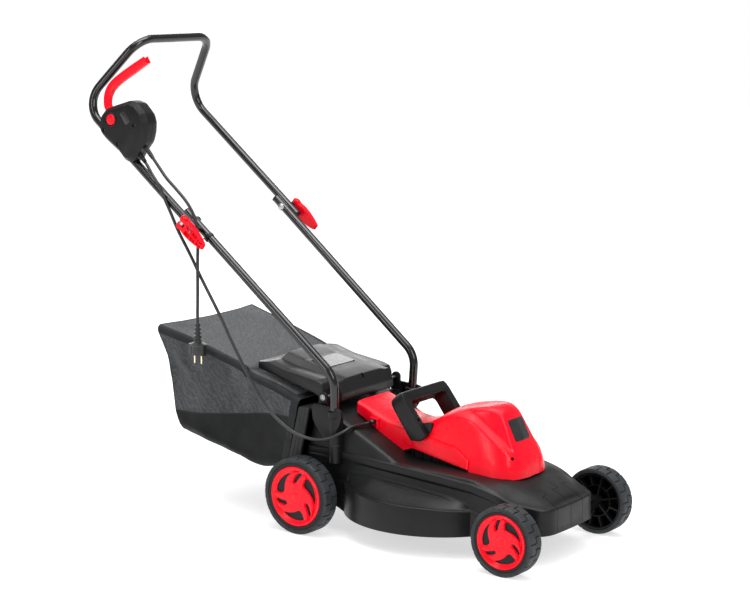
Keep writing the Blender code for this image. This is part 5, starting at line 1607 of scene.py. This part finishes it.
def build_cam_lever(side):
    """A forked cam with a tapered, pocketed arm and rounded edges."""
    arm = slab([CAM_SIDE], "XY", -0.014, 0.014)
    waist = CAM_WAIST + ((0.09, 0.02), (-0.02, 0.02))
    tapers = [slab([[(x, way * z) for x, z in waist]], "XZ", -0.03, 0.03) for way in (1, -1)]
    arm = combined(arm, "DIFFERENCE", merged(*tapers))
    arm = beveled(arm, 0.0022, 3, 25)
    cutters = []
    for row, wide in enumerate(CAM_POCKETS):
        for low, high in ((0.0009, wide), (-wide, -0.0009)):
            start = 0.0210 + row * 0.0175
            cutters.append(rounded_box((start, 0.0012, low), (start + 0.0153, 0.012, high), 0.0010, 2))
    cutters.append(box((-0.02, -0.03, -0.0048), (0.0125, 0.03, 0.0048)))
    arm = combined(arm, "DIFFERENCE", merged(*cutters))
    arm = combined(arm, "DIFFERENCE", rod((0, 0, -0.03), (0, 0, 0.03), PIN_HOLE))
    rims = []
    for start, end in ((0.0128, 0.0152), (-0.0128, -0.0152)):
        inner = [(PIN_HOLE, 0), (0.0072, 0), (0.0072, 0.0018), (0.0064, 0.0024), (PIN_HOLE, 0.0024)]
        rims.append(lathe(inner, 32, closed=True, start=(0, 0, start), end=(0, 0, end)))
    name = side_name(side)
    lever = in_frame(merged(arm, *rims), lever_frame(side))
    piece(f"quick_lever_{name}", lever, RED, f"cam_{name}", (f"cam_lever_{name}",), 30)


def build_joint(side):
    """The bolt with its domed head, a washer, and the cross pin."""
    x, z = JOINT
    inner = LOWER_JOINT_Y - TUBE_RADIUS - 0.0012
    head = [
        (0, 0), (0.0030, 0.0001), (0.0062, 0.0010), (0.0080, 0.0026), (0.0085, 0.0040), (0.0085, 0.0048),
        (0.0030, 0.0050), (0.0030, PIN_Y - 0.004 - inner + 0.0048), (0, PIN_Y - 0.004 - inner + 0.0048),
    ]
    shank = lathe(head, 40, start=(x, side * (inner - 0.0048), z), end=(x, side * inner, z))
    eye = in_frame(
        lathe(
            [
                (PIN_HOLE, -0.0044), (0.0066, -0.0044), (0.0072, -0.0038), (0.0072, 0.0038),
                (0.0066, 0.0044), (PIN_HOLE, 0.0044),
            ],
            40, closed=True,
        ),
        lever_frame(side),
    )
    name = side_name(side)
    piece(f"fold_bolt_{name}", merged(shank, eye), STEEL, "handle_top", (f"joint_bolt_{name}",))
    pin = lathe(
        [(0, -0.0142), (0.0024, -0.0142), (0.0030, -0.0136), (0.0030, 0.0136), (0.0024, 0.0142), (0, 0.0142)],
        24,
    )
    piece(
        f"cross_pin_{name}", in_frame(pin, lever_frame(side)), STEEL, "handle_top",
        (f"lever_pin_{name}",),
    )
    saddle_y = side * (UPPER_JOINT_Y + TUBE_RADIUS)
    saddle = lathe(
        [
            (PIN_HOLE, -0.0012), (0.0078, -0.0010), (0.0086, 0.0004), (0.0086, 0.0012), (0.0080, 0.0018),
            (PIN_HOLE, 0.0018),
        ],
        40, closed=True, start=(x, saddle_y, z), end=(x, saddle_y + side * 0.01, z),
    )
    piece(f"cam_seat_{name}", saddle, BLACK, "handle_top")


for hand in (-1, 1):
    build_cam_lever(hand)
    build_joint(hand)

# Switch box
BOX_SIDE = (
    (-0.546, 0.828), (-0.539, 0.811), (-0.521, 0.796), (-0.487, 0.774), (-0.472, 0.758), (-0.455, 0.752),
    (-0.440, 0.760), (-0.431, 0.775), (-0.411, 0.797), (-0.4045, 0.818), (-0.403, 0.840), (-0.409, 0.860),
    (-0.430, 0.881), (-0.451, 0.887), (-0.480, 0.879), (-0.504, 0.872), (-0.525, 0.864), (-0.539, 0.850),
)
BOX_HOLLOW = (
    (-0.526, 0.840), (-0.455, 0.783), (-0.437, 0.783), (-0.416, 0.804), (-0.410, 0.822), (-0.4085, 0.840),
    (-0.413, 0.856), (-0.431, 0.875), (-0.450, 0.881), (-0.480, 0.873), (-0.503, 0.866), (-0.522, 0.859),
)
BOX_SCREWS = ((-0.436, 0.834), (-0.524, 0.820), (-0.484, 0.791))
BOX_RECESS = ((-0.480, 0.860), (-0.464, 0.866), (-0.444, 0.843), (-0.460, 0.831))


def box_half(levels):
    """A half shell lofted across its depth; each level is (y, how far the outline is drawn in)."""
    return profile_block([(y, grown(BOX_SIDE, -inset) if inset else BOX_SIDE) for y, inset in levels], 0.0045)


def box_cutters(low, high, cap_low, cap_high):
    slot = ((-0.558, 0.905), (-0.558, 0.8480), (-0.542, 0.8360), (-0.498, 0.8600), (-0.498, 0.905))
    reliefs = []
    for start, end in (MAINS_RELIEF, CABLE_RELIEF):
        away = (end - start).normalized() * 0.002
        reliefs.append(rod(start - away, end + away, 0.0072, 0.0050, steps=24))
    return (
        slab([grown(BOX_HOLLOW, -0.0040)], "XZ", cap_low, cap_high),
        pipe(UPPER_PATH, TUBE_RADIUS + 0.0004),
        merged(*reliefs),
        slab([slot], "XZ", max(low, -0.1845), min(high, -0.1685)),
    )


def screw_head(x, z, y, depth=0.0):
    """A pan head with a cross recess, looking out to -Y."""
    top = y + depth
    head = lathe(
        [(0, -0.0004), (0.0014, -0.0003), (0.0026, 0.0002), (0.0031, 0.0010), (0.0031, 0.0030), (0, 0.0030)],
        24,
    )
    arms = [
        box((-0.0019, -0.0004, -0.002), (0.0019, 0.0004, 0.0008)),
        box((-0.0004, -0.0019, -0.002), (0.0004, 0.0019, 0.0008)),
    ]
    for arm in arms:
        head = combined(head, "DIFFERENCE", arm)
    head.transform(axis_frame((x, top, z), (x, top + 1, z)))
    return head


def build_switch_box():
    split = GAP / 2
    outer = box_half([
        (BOX_OUT, 0.0100), (BOX_OUT + 0.0004, 0.0088), (BOX_OUT + 0.0092, 0.0010), (BOX_OUT + 0.0102, 0.0002),
        (BOX_OUT + 0.0116, 0.0), (BOX_SPLIT - split - 0.0006, 0.0), (BOX_SPLIT - split, 0.0005),
    ])
    for tool in box_cutters(BOX_OUT, BOX_SPLIT + 0.01, BOX_OUT + 0.0027, BOX_SPLIT + 0.01):
        outer = combined(outer, "DIFFERENCE", tool)
    marks = [slab([soft_corners(BOX_RECESS, 0.004)], "XZ", BOX_OUT - 0.002, BOX_OUT + 0.0009)]
    marks += [rod((x, BOX_OUT - 0.01, z), (x, BOX_OUT + 0.0022, z), 0.0040, steps=24) for x, z in BOX_SCREWS]
    bx, bz = BUTTON_AT
    marks.append(rod((bx, BOX_OUT - 0.01, bz), (bx, BOX_OUT + 0.004, bz), BUTTON_HOLE))
    outer = combined(outer, "DIFFERENCE", merged(*marks))
    collar = lathe(
        [
            (BUTTON_HOLE, -0.0008), (0.0133, -0.0020), (0.0146, -0.0022), (0.0160, -0.0008),
            (0.0164, 0.0012), (BUTTON_HOLE, 0.0012),
        ],
        48, closed=True, start=(bx, BOX_OUT, bz), end=(bx, BOX_OUT + 1, bz),
    )
    piece(
        "switch_shell_outer", merged(outer, collar), BLACK, "handle_top",
        ("switch_box_outer",), 28,
    )
    screws = [screw_head(x, z, BOX_OUT, 0.0012) for x, z in BOX_SCREWS]
    piece("switch_shell_screws", merged(*screws), DARK_STEEL, "handle_top")
    inner = box_half([
        (BOX_SPLIT + split, 0.0005), (BOX_SPLIT + split + 0.0006, 0.0), (BOX_IN - 0.0130, 0.0),
        (BOX_IN - 0.0110, 0.0008), (BOX_IN - 0.0010, 0.0080), (BOX_IN, 0.0094),
    ])
    for tool in box_cutters(BOX_SPLIT - 0.01, BOX_IN, BOX_SPLIT - 0.01, BOX_IN - 0.0027):
        inner = combined(inner, "DIFFERENCE", tool)
    px, pz = LEVER_PIVOT
    stud = rod((px, -0.184, pz), (px, BOX_IN - 0.001, pz), 0.0028, edge=0.0004)
    piece(
        "switch_shell_inner", merged(inner, stud), BLACK, "handle_top",
        ("switch_box_inner",), 28,
    )
    place = soft_corners(grown(BOX_RECESS, -0.0012), 0.003)
    strip = slab([place], "XZ", BOX_OUT + 0.0005, BOX_OUT + 0.0012, 0.0002)
    piece("switch_blank_plate", strip, PLATE, "handle_top")


build_switch_box()

LEVER_LINE = (
    (-0.5250, 0.860), (-0.5325, 0.876), (-0.5355, 0.892), (-0.5320, 0.9065), (-0.5225, 0.9190),
    (-0.5060, 0.9320), (-0.4780, 0.9505), (-0.4445, 0.9718),
)
LEVER_WIDTHS = (0.0130, 0.0145, 0.0165, 0.0180, 0.0185, 0.0185, 0.0185, 0.0165)


def lever_y(z):
    """How far out the lever's middle is at a height, as it leans inward with the handle."""
    return BOX_SPLIT + max(0.0, z - LEAN_FROM_Z) / 3


def build_switch_lever():
    """A channel-section lever whose open side faces the handle, leaning inward with the handle's bend."""
    line = spline_through([(x, 0, z) for x, z in LEVER_LINE], 6)
    widths = [w.x for w in spline_through([(w, 0, 0) for w in LEVER_WIDTHS], 6)]
    rows = []
    wall, deep = 0.0021, 0.0068
    for index, point in enumerate(line):
        run = (line[min(len(line) - 1, index + 1)] - line[max(0, index - 1)]).normalized()
        across = Vector((-run.z, 0, run.x))
        y = lever_y(point.z)
        half = widths[index] / 2
        section = (
            (-deep, half), (-deep, -half + 0.0026), (-deep + 0.0007, -half + 0.0008), (-deep + 0.0026, -half),
            (deep - 0.0026, -half), (deep - 0.0007, -half + 0.0008), (deep, -half + 0.0026), (deep, half),
            (deep - 0.0007, half + 0.0006), (deep - wall + 0.0003, half + 0.0003),
            (deep - wall, half - 0.0006),
            (deep - wall, -half + wall + 0.0008), (deep - wall - 0.0008, -half + wall),
            (-deep + wall + 0.0008, -half + wall), (-deep + wall, -half + wall + 0.0008),
            (-deep + wall, half - 0.0006), (-deep + wall - 0.0003, half + 0.0003),
            (-deep + 0.0007, half + 0.0006),
        )
        rows.append([point + across * v + Vector((0, y + u, 0)) for u, v in section])
    arm = mesh_of(loft(rows, closed=True, caps=True))
    px, pz = LEVER_PIVOT
    hub = lathe(
        [
            (0.0031, -0.0050), (0.0074, -0.0050), (0.0080, -0.0044), (0.0080, 0.0044), (0.0074, 0.0050),
            (0.0031, 0.0050),
        ],
        40, closed=True, start=(px, BOX_SPLIT, pz), end=(px, BOX_SPLIT + 1, pz),
    )
    heel = ((px - 0.002, pz - 0.007), (px + 0.005, pz + 0.005), (-0.5150, 0.8660), (-0.5300, 0.8610))
    root = slab([heel], "XZ", BOX_SPLIT - 0.0046, BOX_SPLIT + 0.0046, 0.0008)
    ribs = []
    for index in range(8, len(line) - 2, 6):
        y = lever_y(line[index].z)
        tangent = (line[index + 1] - line[index - 1]).normalized()
        side = Vector((-tangent.z, 0, tangent.x))
        half = widths[index] / 2
        rib = box((-0.0006, -0.0036, -half + 0.001), (0.0006, 0.0036, half - 0.003))
        turn = Matrix((
            (tangent.x, 0, side.x, line[index].x), (0, 1, 0, y), (tangent.z, 0, side.z, line[index].z),
            (0, 0, 0, 1),
        ))
        rib.transform(turn)
        ribs.append(rib)
    piece(
        "bail_lever_channel", merged(arm, hub, root, *ribs), RED, "bail_lever",
        ("switch_lever",), 30,
    )


build_switch_lever()


def build_button():
    bx, bz = BUTTON_AT
    profile = [
        (0, BOX_OUT - 0.0042), (0.0050, BOX_OUT - 0.0042), (0.0092, BOX_OUT - 0.0040),
        (0.0108, BOX_OUT - 0.0035), (0.0117, BOX_OUT - 0.0024), (0.0120, BOX_OUT - 0.0010),
        (0.0120, -0.1972), (0.0136, -0.1972), (0.0136, -0.1950), (0, -0.1945),
    ]
    turned = lathe(profile, 48)
    turned.transform(Matrix.Translation((bx, 0, bz)) @ Matrix.Rotation(-math.pi / 2, 4, "X"))
    piece("safety_button", turned, RED, "button", ("lock_button",))


build_button()


def coil(centre, radius, length, turns, wire):
    points = []
    per_turn = 20
    count = int(turns * per_turn)
    for index in range(count + 1):
        angle = 2 * math.pi * index / per_turn
        offset = Vector((math.cos(angle) * radius, length * (index / count - 0.5), math.sin(angle) * radius))
        points.append(Vector(centre) + offset)
    return pipe(points, wire, 3)


def build_springs():
    bx, bz = BUTTON_AT
    px, pz = LEVER_PIVOT
    for name, mesh, body, node in (
        (
            "button_coil", coil((bx + 0.004, -0.1876, bz), 0.0040, 0.0040, 2.5, 0.0006), "handle_top",
            "button_spring",
        ),
        ("lever_coil", coil((px, -0.1645, pz), 0.0046, 0.0060, 2, 0.0007), "handle_top", "lever_spring"),
        (
            "flap_coil", coil((FLAP_AXIS[0], 0.060, FLAP_AXIS[1]), 0.0052, 0.0100, 3, 0.0008), "root",
            "flap_spring",
        ),
    ):
        piece(name, mesh, STEEL, body, (node,))


build_springs()

# Rear flap: heights of the rear edge, panel foot, panel rear edge, panel middle, panel front and roll, by |y|
FLAP_HEIGHTS = (
    (0.0000, 0.3390, 0.3405, 0.3525, 0.3394, 0.3222, 0.3135),
    (0.0480, 0.3386, 0.3400, 0.3515, 0.3387, 0.3216, 0.3132),
    (0.0600, 0.3384, 0.3398, 0.3505, 0.3382, 0.3212, 0.3130),
    (0.0640, 0.3384, 0.3398, 0.3490, 0.3372, 0.3208, 0.3128),
    (0.0760, 0.3382, 0.3396, 0.3402, 0.3290, 0.3165, 0.3105),
    (0.0800, 0.3382, 0.3396, 0.3396, 0.3280, 0.3155, 0.3095),
    (0.0930, 0.3382, 0.3396, 0.3396, 0.3272, 0.3150, 0.3090),
    (0.1200, 0.3382, 0.3396, 0.3396, 0.3262, 0.3145, 0.3085),
)
FLAP_HALF = 0.1245
FLAP_ROLL_HALF = 0.0930
FLAP_STEPS_X = (-0.141, -0.131, -0.085, -0.004)
FLAP_ROLL = ((0.041, 0.2860), (0.041, 0.2690), (0.030, 0.2655), (0.012, 0.2680))
FLAP_NECK = ((0.0170, 0.2960), (0.0170, 0.2800), (0.0130, 0.2765), (0.0040, 0.2790))
FLAP_UNDER = (
    (-0.1570, 0.3100), (-0.1570, 0.3325), (-0.1360, 0.3335), (-0.0700, 0.3195), (-0.0080, 0.3100),
    (-0.0080, 0.2700),
)


def flap_profile(half, inset=0.0):
    """The closed XZ section of the flap at a distance from its middle."""
    heights = [between([(row[0], row[index]) for row in FLAP_HEIGHTS], half) for index in range(1, 7)]
    on_roll = half <= FLAP_ROLL_HALF
    top = [(-0.160, 0.3225), (-0.160, heights[0])]
    top += list(zip(FLAP_STEPS_X, heights[1:5]))
    top.append((0.029, heights[5]) if on_roll else (0.0110, 0.3095))
    outline = top + list(FLAP_ROLL if on_roll else FLAP_NECK) + [(-0.012, 0.2860)]
    return grown(outline, -inset) if inset else outline


def build_flap():
    stops = sorted([row[0] for row in FLAP_HEIGHTS[:-1]] + [FLAP_ROLL_HALF + 0.0022, FLAP_HALF - 0.0032])
    half = [(stop, flap_profile(stop)) for stop in stops]
    half += [
        (FLAP_HALF - 0.0010, flap_profile(FLAP_HALF, 0.0010)), (FLAP_HALF, flap_profile(FLAP_HALF, 0.0030)),
    ]
    lid = profile_block([(-y, profile) for y, profile in half[:0:-1]] + half, 0.0028, 4)
    corners = []
    for side in (-1, 1):
        near, far = span(side, 0.102, 0.14)
        corners.append(box((-0.01, near, 0.20), (0.06, far, 0.2720)))
    for tool in (
        slab([FLAP_UNDER], "XZ", -0.1210, 0.1210),
        rod((FLAP_AXIS[0], -0.2, FLAP_AXIS[1]), (FLAP_AXIS[0], 0.2, FLAP_AXIS[1]), PIN_HOLE),
        rounded_box((0.0085, 0.0500, 0.25), (0.0355, 0.0700, 0.2965), 0.0015),
        rounded_box((0.0260, -0.0075, 0.3040), (0.0330, -0.0020, 0.3300), 0.0008),
        merged(*corners),
    ):
        lid = combined(lid, "DIFFERENCE", tool)
    piece("flap_lid", lid, FLAP_BLACK, "flap", ("rear_flap",), 26)
    slope = math.atan2(-0.0172, 0.081)
    label = rounded_box((-0.0250, -0.0460, -0.0010), (0.0250, 0.0460, 0.0006), 0.0003, 1)
    label.transform(Matrix.Translation((-0.0520, 0.0, 0.33250)) @ Matrix.Rotation(-slope, 4, "Y"))
    piece("flap_blank_place", label, PLATE, "flap")


build_flap()


def build_pin_ends():
    """Washers and spring clips on the hinge pin's two ends."""
    x, z = FLAP_AXIS
    for side in (-1, 1):
        start = (x, side * EAR_OUT, z)
        washer = [
            (0.0030, 0), (0.0062, 0), (0.0064, 0.0005), (0.0060, 0.0010), (0.0046, 0.0012), (0.0046, 0.0028),
            (0.0038, 0.0036), (0.0030, 0.0038),
        ]
        mesh = lathe(washer, 32, closed=True, start=start, end=(x, side * 0.1452, z))
        piece(f"hinge_clip_{side_name(side)}", mesh, STEEL, "root")


build_pin_ends()


# Grass bag: rows from the mouth to the rear as (top, bottom, half width at the top, half width at the bottom)
BAG_ROWS = (
    ((-0.0310, 0.2740), (-0.0620, 0.1350), 0.1480, 0.1480),
    ((-0.1000, 0.3000), (-0.1370, 0.1110), 0.1500, 0.1480),
    ((-0.1640, 0.3195), (-0.2050, 0.1255), 0.1540, 0.1485),
    ((-0.1860, 0.3350), (-0.2250, 0.1305), 0.1560, 0.1490),
    ((-0.3000, 0.3690), (-0.3050, 0.1490), 0.1610, 0.1500),
    ((-0.3950, 0.3960), (-0.3600, 0.1630), 0.1640, 0.1500),
)
BAG_PER_ROW = 12
BAG_SEAM_LINE = ((-0.37, 0.2080), (-0.28, 0.2080), (-0.16, 0.2260), (-0.04, 0.2420))
BAG_CUTS = (0.020, 0.006, 0.006, 0.03, 0.004, 0.010, 0.008)
BAG_STEPS = 5
BAG_SEAM_CORNER = 4
# Rings of the bag's back, as (share of the way out from its middle, bulge)
BAG_BACK_RINGS = (
    (0.985, -0.0030), (0.95, -0.0045), (0.8, -0.0050), (0.6, -0.0050), (0.4, -0.0050), (0.2, -0.0050),
)


def bag_controls(row):
    """Half a section, from the middle of the top over the edge and down to the middle of the bottom."""
    (tx, tz), (bx, bz), top_half, bottom_half = row
    side = (top_half + bottom_half) / 2
    seam_z = between(BAG_SEAM_LINE, (tx + bx) / 2)
    seam = min(0.86, max(0.30, (tz - seam_z) / (tz - bz)))

    def at(share, y, lift=0.0):
        return Vector((tx + (bx - tx) * share, y, tz + (bz - tz) * share + lift))

    return [
        at(0.0, 0.0, -0.002), at(0.0, top_half * 0.6), at(0.0, top_half - 0.008), at(0.04, top_half),
        at(0.5 * seam, side + 0.001), at(seam, side + 0.0005), at(0.93, bottom_half),
        at(1.0, bottom_half - 0.012), at(1.0, 0.0),
    ]


def bag_grid():
    """Rows of points round the whole bag, from the middle of the top over the left side and back."""
    columns = [
        spline_through(column, BAG_PER_ROW)
        for column in zip(*[bag_controls(row) for row in BAG_ROWS])
    ]
    rows = []
    for row in zip(*columns):
        half = fillet(row, BAG_CUTS, BAG_STEPS)
        other = [Vector((p.x, -p.y, p.z)) for p in half[-2:0:-1]]
        rows.append(half + other)
    return rows


def line_distance(x, z, start, end):
    """The distance of a point in the XZ plane from a segment, and how far along it is."""
    ux, uz = end[0] - start[0], end[1] - start[1]
    length = math.hypot(ux, uz)
    share = ((x - start[0]) * ux + (z - start[1]) * uz) / length**2
    return ((x - start[0]) * uz - (z - start[1]) * ux) / length, share


# Creases of the bag's sides as (start, end, height, width) in the XZ plane
BAG_CREASES = (
    ((-0.385, 0.365), (-0.290, 0.255), 0.0050, 0.010),
    ((-0.372, 0.330), (-0.360, 0.215), -0.0050, 0.012),
    ((-0.300, 0.345), (-0.250, 0.225), 0.0022, 0.016),
    ((-0.215, 0.330), (-0.190, 0.230), -0.0020, 0.018),
    ((-0.350, 0.200), (-0.230, 0.150), -0.0050, 0.012),
    ((-0.330, 0.178), (-0.190, 0.135), 0.0040, 0.009),
    ((-0.260, 0.205), (-0.130, 0.150), 0.0030, 0.014),
    ((-0.140, 0.210), (-0.080, 0.150), -0.0025, 0.012),
)

BAG_FLARE = 0.012
BAG_TOP_LINE = (
    (-0.400, 0.3960), (-0.3950, 0.3960), (-0.3000, 0.3690), (-0.1860, 0.3350), (-0.1640, 0.3195),
    (-0.1000, 0.3000), (-0.0310, 0.2740),
)


def slacken(rows):
    """Cloth that hangs from the wire: the top dips, the sides cave in, and creases run off the corners."""
    count = len(rows)
    for j, row in enumerate(rows):
        along = j / (count - 1)
        for point in row:
            half = 0.150 + 0.014 * along
            inside = 1.0 - min(1.0, (abs(point.y) / (half - 0.004)) ** 4)
            top = between(BAG_TOP_LINE, point.x)
            flare = smooth_step((along - 0.84) / 0.16) * smooth_step((point.z - top + 0.05) / 0.05)
            flare *= smooth_step((abs(point.y) - 0.09) / 0.06)
            point.x -= BAG_FLARE * flare
            point.y += math.copysign(0.5 * BAG_FLARE * flare, point.y)
            if point.z > top - 0.012:
                point.z -= 0.011 * inside * math.sin(math.pi * min(1.0, along * 1.02)) ** 0.8
                point.z -= 0.0018 * inside * math.sin(point.y * 46 + point.x * 30) * math.sin(math.pi * along)
                continue
            side = 1 if point.y > 0 else -1
            depth = (top - point.z) / 0.22
            fixed = smooth_step(along / 0.16) * smooth_step((1.0 - along) / 0.10)
            cave = 0.0060 * math.sin(math.pi * min(1.0, max(0.0, depth))) * fixed
            weight = smooth_step(abs(point.y) / 0.13) * smooth_step((top - point.z) / 0.03)
            weight *= smooth_step(along / 0.12)
            fold = 0.0
            for start, end, height, width in BAG_CREASES:
                distance, share = line_distance(point.x, point.z, start, end)
                reach = smooth_step((share + 0.10) / 0.25) * smooth_step((1.15 - share) / 0.35)
                fold += height * ridge(distance, width) * reach * (1.0 if side < 0 else 0.8)
            ripple = 0.0007 * math.sin(point.x * 95 + point.z * 60 * side) * fixed
            point.y += side * weight * (fold + ripple - cave)
    return rows


def strip_of(rows, first, last):
    """The columns of a closed grid from first to last, wrapping past its seam."""
    count = len(rows[0])
    return [[row[index % count].copy() for index in range(first, last + 1)] for row in rows]


def metric_uvs(mesh):
    """UVs in metres by box projection, so that a weave keeps its size everywhere."""
    layer = mesh.uv_layers.active or mesh.uv_layers.new(name="UVMap")
    for polygon in mesh.polygons:
        normal = polygon.normal
        axis = max(range(3), key=lambda index: abs(normal[index]))
        for loop in polygon.loop_indices:
            co = mesh.vertices[mesh.loops[loop].vertex_index].co
            layer.data[loop].uv = ((co.y, co.z), (co.x, co.z), (co.x, co.y))[axis]
    return mesh


def build_bag():
    rows = slacken(bag_grid())
    count = len(rows[0])
    seam = 1 + BAG_SEAM_CORNER * (BAG_STEPS + 1) + BAG_STEPS // 2
    edge = BAG_STEPS + 2
    edge_end = 3 * (BAG_STEPS + 1)
    upper = strip_of(rows, -seam, seam)
    lower = strip_of(rows, seam, count - seam)
    rear = rows[-1]
    centre = sum(rear, Vector()) / len(rear)
    back = [rear]
    for share, bulge in BAG_BACK_RINGS:
        ring_row = []
        for point in rear:
            place = centre + (point - centre) * share
            ripple = math.sin(point.y * 60 + point.z * 90)
            ring_row.append(place + Vector((bulge, 0, 0)) + Vector((0.0012, 0, 0)) * ripple)
        back.append(ring_row)
    back_bm = loft(back, closed=True)
    back_bm.verts.ensure_lookup_table()
    back_bm.faces.new(back_bm.verts[-len(rear):])
    upper_mesh = merged(walled(loft(upper), MESH_THICKNESS), walled(back_bm, MESH_THICKNESS))
    lower_mesh = walled(loft(lower), PANEL_THICKNESS)
    piece("bag_mesh", metric_uvs(upper_mesh), MESH, "bag", ("grass_bag",), 70)
    piece("bag_panel", metric_uvs(lower_mesh), PANEL, "bag", (), 70)
    spans = ((edge, edge_end), (-edge_end, -edge), (seam - 1, seam + 1), (-seam - 1, -seam + 1))
    bands = [walled(loft(strip_of(rows, first, last)), BAND_THICKNESS) for first, last in spans]
    bands.append(walled(loft(rows[:4], closed=True), MOUTH_BAND_THICKNESS))
    piping = pipe(rear + rear[:1], PIPING_RADIUS, 3, caps=False)
    piece("bag_binding", metric_uvs(merged(*bands, piping)), TAPE, "bag", (), 60)


build_bag()


def build_mouth_frame():
    side = ((-0.0035, 0.2600), (-0.0300, 0.2600), (-0.0612, 0.1360), (-0.0315, 0.1360))
    hole = ((0.02, 0.2535), (-0.05, 0.2535), (-0.09, 0.1425), (0.02, 0.1425))
    hook = (
        (-0.0200, 0.2590), (-0.0200, 0.2690), (0.0080, 0.2660), (0.0080, 0.2630), (-0.0030, 0.2645),
        (-0.0045, 0.2590),
    )
    frame_mesh = beveled(slab([side], "XZ", -0.1500, 0.1500), 0.0022, 3)
    frame_mesh = combined(frame_mesh, "DIFFERENCE", slab([hole], "XZ", -0.1440, 0.1440))
    hooks = [beveled(slab([hook], "XZ", *span(s, 0.070, 0.090)), 0.0008, 2) for s in (-1, 1)]
    square = ((-0.0006, -0.0006), (0.0006, -0.0006), (0.0006, 0.0006), (-0.0006, 0.0006))
    ribs = []
    for s in (-1, 1):
        for share in (0.34, 0.66):
            top = Vector((-0.0035 - 0.0265 * share, 0, 0.2560))
            low = Vector((-0.0315 - 0.0297 * share, 0, 0.1400))
            y = s * 0.1500
            ribs.append(sweep([Vector((p.x, y, p.z)) for p in (top, low)], square, (0, 1, 0)))
    piece(
        "bag_mouth_ring", merged(frame_mesh, *hooks, *ribs), GREY, "bag",
        ("bag_mouth_frame",), 30,
    )
    wire = rounded(
        [
            (-0.0360, -0.1380, 0.2620), (-0.1660, -0.1430, 0.3080), (-0.1900, -0.1440, 0.3250),
            (-0.3880, -0.1540, 0.3850), (-0.3880, 0.1540, 0.3850), (-0.1900, 0.1440, 0.3250),
            (-0.1660, 0.1430, 0.3080), (-0.0360, 0.1380, 0.2620),
        ],
        0.012, 6,
    )
    piece("bag_wire", pipe(wire, 0.0025, 4), DARK_STEEL, "bag", ("bag_frame",))


build_mouth_frame()

# CAD nodes that keep their shape and take a finish
KEPT = {
    STEEL: (
        "front_axle", "rear_axle", "lower_bearing", "upper_bearing", "blade", "blade_bolt",
        "flap_hinge_pin",
    ),
    CAST: ("motor_end_shield", "blade_adapter"),
    DARK_STEEL: ("motor_stator", "motor_rotor"),
    BLACK: ("motor_base", "cooling_fan", "motor_capacitor", "microswitch"),
}
for material, names in KEPT.items():
    for name in names:
        data = NODES[name].data
        data.materials.clear()
        data.materials.append(material)


# Stage: a plain pale floor, a white world and soft lights
def build_stage():
    floor_mesh = box((-12, -12, -0.02), (12, 12, 0))
    floor = bpy.data.objects.new("studio_floor", floor_mesh)
    bpy.context.scene.collection.objects.link(floor)
    finish = Finish("studio_floor_paint", specular=0.1)
    finish.colour(finish.noise(0.6), (0.50, 0.50, 0.50), (0.52, 0.52, 0.52))
    finish.shader.inputs["Roughness"].default_value = 0.85
    finish.shader.inputs["Emission Color"].default_value = (1, 1, 1, 1)
    finish.shader.inputs["Emission Strength"].default_value = 0.62
    floor_mesh.materials.append(finish.material)
    world = bpy.data.worlds.new("studio")
    bpy.context.scene.world = world
    world.use_nodes = True
    tree = world.node_tree
    tree.nodes.clear()
    output = tree.nodes.new("ShaderNodeOutputWorld")
    mix = tree.nodes.new("ShaderNodeMixShader")
    path = tree.nodes.new("ShaderNodeLightPath")
    dim = tree.nodes.new("ShaderNodeBackground")
    white = tree.nodes.new("ShaderNodeBackground")
    dim.inputs["Strength"].default_value = 0.36
    white.inputs["Strength"].default_value = 1.0
    for node in (dim, white):
        node.inputs["Color"].default_value = (1, 1, 1, 1)
    tree.links.new(path.outputs["Is Camera Ray"], mix.inputs["Fac"])
    tree.links.new(dim.outputs[0], mix.inputs[1])
    tree.links.new(white.outputs[0], mix.inputs[2])
    tree.links.new(mix.outputs[0], output.inputs["Surface"])
    bpy.context.scene.view_settings.view_transform = "Standard"


def area_light(name, place, target, size, energy):
    light = bpy.data.lights.new(name, "AREA")
    light.shape = "RECTANGLE"
    light.size, light.size_y = size
    light.energy = energy
    obj = bpy.data.objects.new(name, light)
    bpy.context.scene.collection.objects.link(obj)
    obj.location = place
    obj.rotation_euler = (Vector(place) - Vector(target)).to_track_quat("Z", "Y").to_euler()


def soft_sun(strength, spread):
    """An even light from straight above, which keeps the whole floor white."""
    light = bpy.data.lights.new("sky_panel", "SUN")
    light.energy = strength
    light.angle = math.radians(spread)
    obj = bpy.data.objects.new("sky_panel", light)
    bpy.context.scene.collection.objects.link(obj)
    obj.location = (0, 0, 4)


build_stage()
soft_sun(2.2, 70)
area_light("overhead", (0.3, -0.2, 2.6), (0.1, 0, 0.3), (1.6, 0.7), 22)
area_light("key", (2.6, -1.2, 2.1), (0.1, 0, 0.3), (1.0, 1.6), 34)
area_light("side_strip", (-0.6, -3.0, 1.6), (0, 0, 0.4), (0.5, 2.0), 22)
area_light("rim", (-2.6, 1.4, 2.2), (0, 0, 0.5), (1.0, 1.4), 24)
area_light("back_card", (-2.3, 3.2, 1.7), (0, 0, 0.3), (2.6, 0.9), 30)
